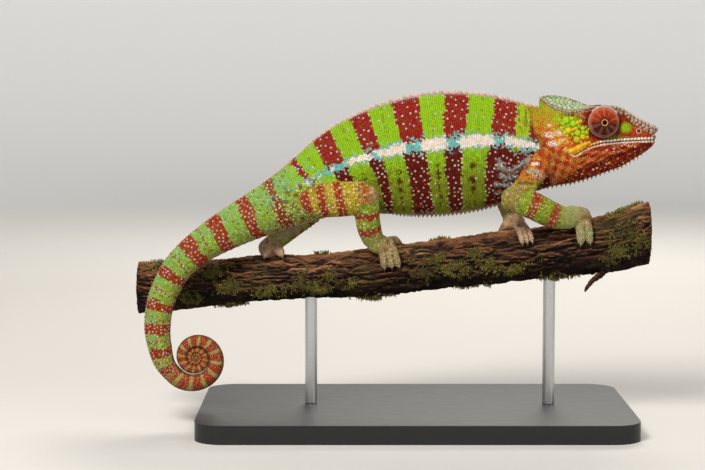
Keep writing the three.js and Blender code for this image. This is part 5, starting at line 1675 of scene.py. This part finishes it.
def turret_colour(radius, angle, speckle):
    """Share rows on the turret: bright red above and dark red below, with pale rays and rings."""
    share = np.zeros((len(radius), len(COLOURS)))

    def over(tint, mask):
        mask = np.clip(mask, 0, 1)[:, None]
        share[:] = share * (1 - mask) + tint * mask

    height = np.sin(angle)
    over(mixed(red=0.88, orange=0.12), np.ones(len(radius)))
    over(mixed(red=0.76, orange=0.24), smooth(3.8, 6.5, radius) * smooth(-0.1, 0.6, height) * 0.85)
    low = smooth(0.12, -0.20, height + 0.06 * np.cos(angle))
    over(mixed(maroon=0.72, dark=0.28), low)
    over(mixed(maroon=0.8, red=0.2), smooth(4.4, 2.2, radius) * (1 - low) * 0.7)
    ray = np.full(len(radius), 9.0)
    for place_at in (18, 62, 92, 126, 158, 200, 247, 293, 330):
        turn = np.abs(np.mod(angle - math.radians(place_at) + math.pi, 2 * math.pi) - math.pi)
        ray = np.minimum(ray, turn * (2.3 if place_at < 180 else 0.62))
    thin = smooth(0.17, 0.05, ray + (speckle - 0.5) * 0.03)
    thin = thin * smooth(2.4, 3.0, radius) * smooth(7.4, 6.2, radius)
    over(mixed(orange=0.75, pearl=0.15, yellow=0.1), thin * (1 - low) * 0.5)
    over(mixed(pearl=0.13, orange=0.09, maroon=0.78), smooth(0.14, 0.06, ray) * smooth(2.0, 2.8, radius)
         * smooth(7.6, 6.6, radius) * low * 0.7)
    over(mixed(pearl=0.55, orange=0.40, red=0.05), np.exp(-((radius - 7.15) / 0.27) ** 2) * 0.75)
    over(mixed(pearl=0.35, orange=0.5, red=0.15), np.exp(-((radius - 6.35) / 0.22) ** 2) * 0.55)
    over(mixed(red=0.8, maroon=0.2), smooth(7.5, 8.0, radius) * 0.8)
    over(mixed(dark=0.6, maroon=0.4), smooth(2.5, 2.1, radius) * 0.6)
    over(mixed(orange=0.6, yellow=0.3, white=0.1), smooth(1.70, 1.54, radius))
    return share


def round_dish(name, centre, side, reach, depth, columns):
    """Rings about an axis across the body, from lists of their reach and their depth outwards."""
    angle = np.linspace(0, 2 * math.pi, columns, endpoint=False)
    verts = np.stack([
        centre[0] + reach[:, None] * np.cos(angle), centre[1] + side * depth[:, None] + 0 * angle,
        centre[2] + reach[:, None] * np.sin(angle)], -1)
    return new_object(name, verts.reshape(-1, 3), grid_faces(len(reach), columns)[:, ::-side])


OPENING = 1.32
TURRET_COLUMNS, BALL_COLUMNS = 96, 64
for side, name in ((-1, "right"), (1, "left")):
    centre = CENTRE * [1, side, 1]
    reach = np.concatenate([[OPENING - 0.25, OPENING - 0.05, OPENING + 0.15, OPENING + 0.40, OPENING + 0.65],
                            np.linspace(2.25, 7.99, 44)])
    depth = EYE["depth"] * np.sqrt(1 - (reach / (EYE["radius"] + 0.01)) ** 2) - 0.12
    depth[:5] += np.array([-0.75, -0.25, 0.12, 0.20, 0.10])
    reach, depth = np.append(reach, 7.99), np.append(depth, -1.5)
    turret = round_dish(f"eye_turret_skin_{name}", centre, side, reach, depth, TURRET_COLUMNS)
    angle = np.linspace(0, 2 * math.pi, TURRET_COLUMNS, endpoint=False)
    flat = np.repeat(reach, TURRET_COLUMNS)
    store_shares(turret, turret_colour(flat, np.tile(angle, len(reach)), np.full(len(flat), 0.5)),
                 np.full(len(flat), 0.5), np.full(len(flat), 0.5))
    # An even, slight painted shade over the whole turret skin.
    add_attribute(turret, "shade_height", np.full(len(flat), 0.8), "FLOAT")
    turret.data.materials.append(SCALE_MATERIAL)
    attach(turret, "root")
    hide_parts(f"eye_turret_{name}")

    grains = Bumps()
    ring = OPENING + 0.80
    while ring < 7.9:
        slope = math.sqrt(1 - (ring / (EYE["radius"] + 0.01)) ** 2)
        count = int(2 * math.pi * ring / 0.52)
        turn = np.linspace(0, 2 * math.pi, count, endpoint=False) + rng.random()
        shares = turret_colour(np.full(count, ring), turn, rng.random(count))
        for a, share in zip(turn, shares):
            x, z = math.cos(a) * ring, math.sin(a) * ring
            normal = unit(np.array([x / 64, side * slope / EYE["depth"], z / 64]))
            spot = centre + np.array([x, side * (EYE["depth"] * slope - 0.12), z])
            grains.add(spot, normal, (-math.sin(a), 0, math.cos(a)), 0.29, 0.27, 0.13, share)
        ring += 0.50 * max(slope, 0.35)
    ring, gold = OPENING + 0.14, mixed(yellow=0.40, orange=0.45, white=0.15)
    for a in np.linspace(0, 2 * math.pi, 17)[:-1]:
        x, z = math.cos(a) * ring, math.sin(a) * ring
        spot = centre + np.array([x, side * (EYE["depth"] * 0.975 + 0.02), z])
        grains.add(spot, (0, side, 0), (-math.sin(a), 0, math.cos(a)), 0.27, 0.19, 0.20, gold)
    grains.build(f"eye_scales_{name}", LOW_DOME, 6, shade_height_floor=0.95)

    # Eyeball: what shows in the small opening, black with a thin golden rim.
    ball_reach = np.concatenate([[0.02], np.linspace(0.15, 2.15, 22)])
    ball_depth = EYE["depth"] * 0.955 - 0.62 + 0.95 * np.sqrt(np.maximum(1 - (ball_reach / 2.3) ** 2, 0))
    ball = round_dish(f"eyeball_{name}_glossy", centre, side, ball_reach, ball_depth, BALL_COLUMNS)
    add_attribute(ball, "reach", np.repeat(ball_reach, BALL_COLUMNS), "FLOAT")
    material, tree, shader = new_material(f"eyeball_{name}")
    iris = tree.math("MULTIPLY", tree.attribute("reach", "Fac"), 0.4)
    wave = tree.linear(tree.noise(1800, 2), 0.05, -0.025)
    tint = tree.ramp(tree.math("ADD", iris, wave), [
        (0.0, colour(0.002, 0.002, 0.002)), (0.44, colour(0.004, 0.003, 0.003)),
        (0.50, colour(0.50, 0.22, 0.05)), (0.62, colour(0.62, 0.32, 0.08)),
        (0.72, colour(0.10, 0.03, 0.012))])
    link(tree, tint, shader, "Base Color")
    shader.inputs["Roughness"].default_value = 0.15
    shader.inputs["Specular IOR Level"].default_value = 0.07
    ball.data.materials.append(material)
    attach(ball, "root")
    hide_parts(f"eyeball_{name}")


# ---- Claws --------------------------------------------------------------------------------------
# One short curved claw of horn, brown at the root and dark at the point, grown out of the tip of each
# of the twenty toes. It hooks into the bark.

claw_verts, claw_faces, claw_places = [], [], []
for leg in LEGS.values():
    for bundle in leg["toes"]:
        for index in range(bundle["toes"]):
            rows = np.array(toe_rows(**bundle, index=index))
            tip, size = rows[-1, :3], rows[-1, 3]
            ahead = unit(tip - rows[-2, :3])
            axis = perch_axis(tip[0])
            inward = unit(np.array([0, axis[1] - tip[1], axis[2] - tip[2]]))
            offset = sum(len(part) for part in claw_verts)
            rings = []
            for t in np.linspace(0, 1, 9):
                middle = tip + ahead * (size * 0.35 + 2.0 * t)
                middle = middle - inward * (0.50 * (1 - t)) + inward * (0.8 * t * t)
                radius = 0.72 * (1 - t) ** 0.75 + 0.08
                heading = unit(ahead * 3.0 + inward * (0.5 + 2.0 * t))
                flat = unit(np.cross(heading, [1, 0, 0.01]))
                wide = np.cross(flat, heading)
                for a in np.linspace(0, 2 * math.pi, 12, endpoint=False):
                    across = flat * math.cos(a) * radius * 1.15
                    rings.append(middle + across + wide * math.sin(a) * radius * 0.8)
                    claw_places.append(t)
            claw_verts.append(with_hubs(np.array(rings).reshape(9, 12, 3)))
            claw_places += [0, 1]
            claw_faces += [[i + offset for i in face] for face in tube_faces(9, 12)]
claws = new_object("claws", np.vstack(claw_verts), claw_faces)
add_attribute(claws, "reach", claw_places, "FLOAT")
material, tree, shader = new_material("claw")
streak = tree.noise(1200, 4)
mixed_place = tree.math("ADD", tree.attribute("reach", "Fac"), tree.math("MULTIPLY", streak, 0.3))
horn = tree.ramp(mixed_place, [
    (0.1, colour(0.34, 0.25, 0.15)), (0.6, colour(0.20, 0.15, 0.10)), (1.0, colour(0.06, 0.045, 0.035))])
link(tree, horn, shader, "Base Color")
shader.inputs["Roughness"].default_value = 0.32
claws.data.materials.append(material)
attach(claws, "root")


# ---- Branch -------------------------------------------------------------------------------------
# A length of a real branch, sawn off at both ends and carried by the two rods of the stand. It is
# wood, which shows pale with its year rings at the ends, under brown bark with fissures and flakes.
# A thin broken twig still hangs on it.

ROWS, COLUMNS = 620, 150
noise.seed_set(3)   # so that the bark has the same fissures in every run
perch_rows = spline(PERCH, np.linspace(0, len(PERCH) - 1, 800))
length = distances_along(perch_rows[:, :3])
wanted = np.linspace(0, length[-1], ROWS)
centre = at_distances(wanted, length, perch_rows[:, :3])
radius = np.interp(wanted, length, perch_rows[:, 3])
angle = np.linspace(0, 2 * math.pi, COLUMNS, endpoint=False)
verts = np.zeros((ROWS, COLUMNS, 3))
crack_depth, flake_tone = np.zeros((ROWS, COLUMNS)), np.zeros((ROWS, COLUMNS))
for i in range(ROWS):
    for j in range(COLUMNS):
        a, x = angle[j], centre[i, 0]
        up, out = radius[i] * math.cos(a), radius[i] * math.sin(a)
        at = Vector((wanted[i] * 0.036, up * 0.22, out * 0.22))
        warp = noise.noise_vector(at * 2.2) * 0.35
        cells = noise.voronoi(at + warp)[0]
        fine_at = Vector((wanted[i] * 0.16, up * 0.80, out * 0.80))
        fine_cells = noise.voronoi(fine_at + warp * 1.5)[0]
        edge = cells[1] - cells[0]
        crack = max(0.0, 1 - edge / 0.16)
        small = max(0.0, 1 - (fine_cells[1] - fine_cells[0]) / 0.20)
        lump = noise.fractal(at * 3.0, 0.8, 2.0, 4)
        strand = 1 - abs(noise.noise(Vector((wanted[i] * 0.09, up * 0.9, out * 0.9)))) * 2.4
        push = 0.15 - 1.75 * crack ** 0.8 - 0.55 * small + 0.60 * lump + 0.35 * strand
        crack_depth[i, j] = min(1.0, crack + 0.5 * small + max(0.0, -0.35 * strand))
        flake_tone[i, j] = 0.5 + 0.5 * noise.noise(at * 1.3 + Vector((9, 0, 0)))
        reach = radius[i] * unevenness(x, a) + push
        verts[i, j] = centre[i] + np.array([0, -reach * math.sin(a), reach * math.cos(a)])

CUT_STEPS = np.linspace(0.93, 0.03, 14)


def sawn_end(end, order):
    """Rings of a sawn end from its rim to its middle, a little domed. order is -1 behind, 1 in front."""
    rim = verts[end] - centre[end]
    return np.array([centre[end] + rim * t + np.array([(1 - t) * 0.25 * order + 0.12 * order, 0, 0])
                     for t in CUT_STEPS])


perch_rings = np.vstack([sawn_end(0, -1)[::-1], verts, sawn_end(ROWS - 1, 1)])
perch_verts = with_hubs(perch_rings)
perch_faces = tube_faces(len(perch_rings), COLUMNS)
year_rings = np.repeat(CUT_STEPS[:, None], COLUMNS, 1)
uncracked = np.zeros_like(year_rings)
crack_all = np.append(np.vstack([uncracked, crack_depth, uncracked]).ravel(), [0, 0])
tone_all = np.append(np.vstack([year_rings[::-1], flake_tone, year_rings]).ravel(), [0, 0])
cut_all = np.append(np.vstack([uncracked + 1, np.zeros((ROWS, COLUMNS)), uncracked + 1]).ravel(), [1, 1])

# Broken twig below the front part, thin and bent.
TWIG = [
    (94.0, -4, 77.5, 2.2), (90.0, -6, 73.5, 1.6), (86.5, -7, 71.0, 1.2), (83.8, -8, 67.8, 0.9),
    (82.6, -8, 65.6, 0.4),
]
twig_rows = spline(TWIG, np.linspace(0, len(TWIG) - 1, 60))
twig_angle = np.linspace(0, 2 * math.pi, 14, endpoint=False)
heading = unit(np.gradient(twig_rows[:, :3], axis=0))
flat = unit(np.cross(heading, [0, 1, 0]))
wide = np.cross(heading, flat)
swell = 1 + 0.14 * rng.standard_normal((60, 14))
twig = twig_rows[:, None, :3] + (twig_rows[:, 3][:, None] * swell)[..., None] * (
    flat[:, None] * np.cos(twig_angle)[None, :, None] + wide[:, None] * np.sin(twig_angle)[None, :, None])
offset = len(perch_verts)
perch_verts = np.vstack([perch_verts, with_hubs(twig)])
perch_faces += [[i + offset for i in face] for face in tube_faces(60, 14)]
extra = len(perch_verts) - offset
crack_all = np.append(crack_all, rng.random(extra) * 0.7)
tone_all = np.append(tone_all, np.full(extra, 0.4))
cut_all = np.append(cut_all, np.zeros(extra))

perch = new_object("perch_bark", perch_verts, perch_faces)
add_attribute(perch, "crack", crack_all, "FLOAT")
add_attribute(perch, "flake", tone_all, "FLOAT")
add_attribute(perch, "cut", cut_all, "FLOAT")
material, tree, shader = new_material("bark")
position = tree.add("ShaderNodeTexCoord").outputs["Object"]
stretched = tree.add("ShaderNodeMapping", {"Vector": position, "Scale": (0.25, 1, 1)}).outputs[0]
grain = tree.noise(900, 8, stretched, 0.65)
broad = tree.noise(55, 3, position)
normal = tree.add("ShaderNodeNewGeometry").outputs["Normal"]
height = tree.add("ShaderNodeSeparateXYZ", {0: normal}).outputs[2]
upward = tree.math("MAXIMUM", height, 0.0)
flakes = tree.math("MULTIPLY", tree.attribute("flake", "Fac"), 0.25)
ground = tree.ramp(tree.math("ADD", tree.math("MULTIPLY", grain, 0.75), flakes), [
    (0.36, colour(0.008, 0.003, 0.001)), (0.50, colour(0.024, 0.008, 0.003)),
    (0.60, colour(0.070, 0.024, 0.008)), (0.74, colour(0.270, 0.102, 0.036))])
# Painted highlight: the bark turns copper where its surface faces up.
painted_top_light = tree.math("MULTIPLY", upward, tree.math("MULTIPLY", grain, 0.95))
top = tree.mix(painted_top_light, ground, colour(0.400, 0.165, 0.062))
# Pale flakes, shown only where the surface faces up: partly real peeled flakes, partly painted highlight.
peel = tree.ramp(tree.noise(150, 3, stretched, 0.55), [(0.56, colour(0, 0, 0)), (0.64, colour(1, 1, 1))])
top = tree.mix(tree.math("MULTIPLY", upward, peel), top, colour(0.480, 0.225, 0.095))
# The fissures are painted near-black: partly the dark bark inside them, partly painted shade in these
# recesses.
deep = tree.mix(tree.attribute("crack", "Fac"), top, colour(0.007, 0.003, 0.002))
green_mask = tree.ramp(broad, [(0.54, colour(0, 0, 0)), (0.66, colour(1, 1, 1))])
stained_and_shaded = tree.mix(tree.math("MULTIPLY", green_mask, 0.28), deep, colour(0.075, 0.066, 0.015))
# Painted shade: the bark is darkened the more its surface faces down.
shade = tree.linear(height, 0.40, 0.62)
stained_and_shaded = tree.mix(1.0, stained_and_shaded, shade, "MULTIPLY")
ring_wave = tree.math("SINE", tree.math("MULTIPLY", tree.attribute("flake", "Fac"), 95.0))
ring_shade = tree.linear(ring_wave, 0.16, 0.5)
rings_colour = tree.ramp(tree.math("ADD", ring_shade, tree.math("MULTIPLY", grain, 0.3)), [
    (0.35, colour(0.30, 0.17, 0.08)), (0.85, colour(0.56, 0.38, 0.21))])
link(tree, tree.mix(tree.attribute("cut", "Fac"), stained_and_shaded, rings_colour), shader, "Base Color")
add_bump(tree, shader, grain, strength=0.8, distance=0.0006)
shader.inputs["Roughness"].default_value = 0.78
shader.inputs["Specular IOR Level"].default_value = 0.16
perch.data.materials.append(material)
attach(perch, "root")
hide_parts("perch")


# ---- Moss ---------------------------------------------------------------------------------------
# Living moss that has grown on the bark in cushions of short pointed leaves, mostly low on the near
# side, and is left off round the four feet. Each leaf is a thin closed blade, rooted in the bark.

CUSHIONS = [
    # x, angle from the top towards the near side, half length along the branch, half width round it
    (-72, 1.9, 7, 5), (-66, 1.2, 4, 3), (-58, 1.7, 8, 5), (-48, 2.0, 6, 4), (-42, 1.5, 4, 3),
    (-33, 1.9, 5, 3), (-6, 1.2, 4, 3), (2, 1.8, 6, 4), (11, 1.3, 5, 4), (20, 1.8, 7, 4),
    (29, 1.2, 4, 3), (36, 1.7, 6, 4), (47, 2.0, 6, 4), (57, 1.6, 5, 3), (90, 1.3, 5, 4),
    (96, 1.9, 7, 5), (103, 1.1, 6, 5), (109, 1.7, 5, 5), (99, 0.2, 5, 4), (108, -0.2, 4, 4),
    (12, -0.3, 5, 3), (-46, -0.2, 4, 3), (-100, 1.0, 6, 4), (-122, 1.6, 8, 5), (-110, 2.1, 6, 4),
    (-128, 0.4, 5, 4), (-90, 1.7, 6, 4), (-20, 3.0, 7, 4), (30, 3.2, 8, 5), (70, 3.0, 8, 5),
    (-90, 3.2, 8, 5), (20, 4.4, 9, 6), (-60, 4.6, 9, 6), (85, 4.5, 9, 6), (-115, 4.4, 8, 6),
    (50, 5.4, 5, 4), (-20, 5.3, 6, 4),
]
leaf_verts, leaf_faces, leaf_tone = [], [], []
for x, a, long_half, round_half in CUSHIONS:
    i0 = np.abs(centre[:, 0] - x).argmin()
    for _ in range(int(long_half * round_half * 7.5)):
        along, around = rng.normal(0, 0.5, 2)
        i = int(np.clip(i0 + along * long_half / (length[-1] / ROWS), 3, ROWS - 4))
        j = int(round((a + around * round_half / radius[i0]) / (2 * math.pi) * COLUMNS)) % COLUMNS
        if noise.noise(Vector(verts[i, j] * 0.35)) < -0.12:
            continue
        spot, turned = verts[i, j], angle[j]
        if any(abs(centre[i, 0] - foot) < 11 and math.cos(turned) > -0.2 for foot in (82, 49, -14, -70)):
            continue
        outward = unit(np.array([0.0, -math.sin(turned), math.cos(turned)]))
        rise = max(0.2, 1 - math.hypot(along, around) * 0.8)
        cushion_tone = 0.5 + 0.5 * noise.noise(Vector(verts[i, j] * 0.12))
        for _ in range(rng.integers(3, 6)):
            root = spot + rng.normal(0, 0.5, 3)
            root += outward * (rise * rng.uniform(-0.2, 1.3) - (root - spot) @ outward)
            grow = unit(outward + rng.normal(0, 0.6, 3))
            long = rng.uniform(0.8, 2.1)
            across = unit(np.cross(grow, rng.normal(0, 1, 3))) * rng.uniform(0.20, 0.38)
            thick = unit(np.cross(grow, across)) * 0.13
            middle = root + grow * long * 0.45
            base = len(leaf_verts) * 6
            point = root + grow * long + rng.normal(0, 0.12, 3)
            leaf_verts.append([root - outward * 0.3, middle + across, middle + thick, middle - across,
                               middle - thick, point])
            leaf_faces += [[base, base + 1 + k, base + 1 + (k + 1) % 4] for k in range(4)]
            leaf_faces += [[base + 5, base + 1 + (k + 1) % 4, base + 1 + k] for k in range(4)]
            leaf_tone += [np.clip(0.55 * cushion_tone + 0.45 * rng.random(), 0, 1)] * 6
moss = new_object("moss", np.array(leaf_verts).reshape(-1, 3), np.array(leaf_faces))
add_attribute(moss, "tone", leaf_tone, "FLOAT")
material, tree, shader = new_material("moss")
leaf_share = tree.math("MULTIPLY", tree.attribute("tone", "Fac"), 0.7)
blend = tree.math("ADD", leaf_share, tree.math("MULTIPLY", tree.noise(300, 2), 0.3))
greens = tree.ramp(blend, [
    (0.15, colour(0.030, 0.020, 0.006)), (0.45, colour(0.095, 0.078, 0.012)),
    (0.8, colour(0.300, 0.260, 0.026))])
link(tree, greens, shader, "Base Color")
shader.inputs["Roughness"].default_value = 0.8
moss.data.materials.append(material)
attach(moss, "root")
print("perch", len(perch.data.polygons) * 2, "moss", len(moss.data.polygons))


# ---- Base of the stand --------------------------------------------------------------------------
# A flat plate in satin black paint, which lies on the table and carries the two rods. Its shape is
# that of the solid, and only the material is laid on.

material, tree, shader = new_material("satin_black")
speck = tree.noise(2600, 5)
black = tree.ramp(speck, [(0.3, colour(0.014, 0.014, 0.015)), (0.7, colour(0.024, 0.024, 0.025))])
link(tree, black, shader, "Base Color")
link(tree, tree.linear(tree.noise(22, 4), 0.12, 0.34), shader, "Roughness")
add_bump(tree, shader, speck, strength=0.12, distance=0.0001)
shader.inputs["Specular IOR Level"].default_value = 0.18
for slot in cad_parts["stand_base"].material_slots:
    slot.material = material


# ---- Rods of the stand --------------------------------------------------------------------------
# Two straight rods of brushed steel, set upright in the base and into the underside of the branch.
# Their shape is that of the solids too.

material, tree, shader = new_material("brushed_steel")
position = tree.add("ShaderNodeTexCoord").outputs["Object"]
around = tree.add("ShaderNodeMapping", {"Vector": position, "Scale": (1, 1, 24)}).outputs[0]
brushed = tree.noise(320, 6, around, 0.6)
steel = tree.ramp(brushed, [(0.3, colour(0.46, 0.46, 0.47)), (0.7, colour(0.64, 0.64, 0.65))])
link(tree, steel, shader, "Base Color")
link(tree, tree.linear(brushed, 0.18, 0.22), shader, "Roughness")
shader.inputs["Metallic"].default_value = 1.0
for rod in ("stand_rod_rear", "stand_rod_front"):
    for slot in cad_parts[rod].material_slots:
        slot.material = material


# ---- Floor --------------------------------------------------------------------------------------
# A round sheet of matt card, pale and seamless, on which the model stands. It curves up into a low
# wall all round, so that every side has the same backdrop.

def backdrop_rays(tree):
    """1 for what the camera sees, straight or in metal, and 0 for the light that falls on the model."""
    rays = tree.add("ShaderNodeLightPath").outputs
    mirrored = tree.math("MAXIMUM", rays["Is Glossy Ray"], rays["Is Transmission Ray"])
    return tree.math("MAXIMUM", rays["Is Camera Ray"], mirrored)


FLOOR_SIDES = 96
turn = np.linspace(0, 2 * math.pi, FLOOR_SIDES, endpoint=False)
profile = [(1, 0), (400, 0), (900, 0), (1500, 0)]
profile += [(1500 + 700 * math.sin(a), 700 - 700 * math.cos(a)) for a in np.linspace(0.1, math.pi / 2, 14)]
profile += [(2200, 1100), (2200, 1500)]
rings = np.array([[(r * math.cos(a), r * math.sin(a), h) for a in turn] for r, h in profile])
floor = new_object("floor", rings.reshape(-1, 3), grid_faces(len(profile), FLOOR_SIDES)[:, ::-1])
material, tree, shader = new_material("floor")
shade = tree.noise(3, 2)
pale = tree.ramp(shade, [(0, colour(0.53, 0.52, 0.505)), (1, colour(0.58, 0.57, 0.555))])
link(tree, pale, shader, "Base Color")
shader.inputs["Roughness"].default_value = 0.85
shader.inputs["Specular IOR Level"].default_value = 0.2
place_at = tree.add("ShaderNodeTexCoord").outputs["Object"]
away = tree.add("ShaderNodeVectorMath", {0: place_at}, operation="LENGTH").outputs["Value"]
glow = tree.ramp(tree.math("MULTIPLY", away, 0.35), [(0.22, colour(0, 0, 0)), (0.80, colour(0.5, 0.5, 0.5))])
link(tree, tree.math("MULTIPLY", glow, backdrop_rays(tree)), shader, "Emission Strength")
shader.inputs["Emission Color"].default_value = colour(0.95, 0.95, 0.93)
floor.data.materials.append(material)


# ---- Light --------------------------------------------------------------------------------------
# Three soft lamps with flat screens: a warm one from the left front, a weaker cool one from the right
# front and a warm one from behind. A pale sky lights what they leave dark.

def area_light(name, place, target, size, power, tint):
    data = bpy.data.lights.new(name, "AREA")
    data.shape = "RECTANGLE"
    data.size, data.size_y = size
    data.energy = power
    data.color = tint
    lamp = bpy.data.objects.new(name, data)
    lamp.location = place
    lamp.rotation_euler = (Vector(target) - Vector(place)).to_track_quat("-Z", "Y").to_euler()
    bpy.context.scene.collection.objects.link(lamp)


target = (-0.01, 0, 0.1)
area_light("key", (-0.45, -0.85, 0.95), target, (0.45, 0.45), 21, (1.0, 0.96, 0.90))
area_light("fill", (1.35, -1.2, 0.75), target, (1.2, 0.9), 9.5, (0.97, 0.97, 1.0))
area_light("rim", (0.2, 0.9, 0.8), target, (0.6, 0.4), 10, (1.0, 0.95, 0.86))
world = bpy.data.worlds.new("world")
world.use_nodes = True
world.node_tree.nodes["Background"].inputs[0].default_value = (0.86, 0.85, 0.82, 1)
sky = Nodes(world.node_tree)
# The sky lights the model at 0.28, and is a pale backdrop where the camera sees it.
behind = sky.linear(backdrop_rays(sky), 0.62, 0.28)
world.node_tree.links.new(behind, world.node_tree.nodes["Background"].inputs[1])
bpy.context.scene.world = world
bpy.context.scene.view_settings.view_transform = "Standard"


# ---- Camera -------------------------------------------------------------------------------------
# A camera with a long lens, set up square to the right side of the animal and a little above it, and
# tilted down by as much.

camera_data = bpy.data.cameras.new("camera")
camera_data.lens = 100
camera_data.sensor_width = 36
camera = bpy.data.objects.new("camera", camera_data)
elevation = math.radians(5)
distance = 0.96
aim = Vector((-0.0306, 0, 0.0926))
camera.location = aim + Vector((0, -distance * math.cos(elevation), distance * math.sin(elevation)))
camera.rotation_euler = (math.radians(90) - elevation, 0, 0)
bpy.context.scene.collection.objects.link(camera)
bpy.context.scene.camera = camera
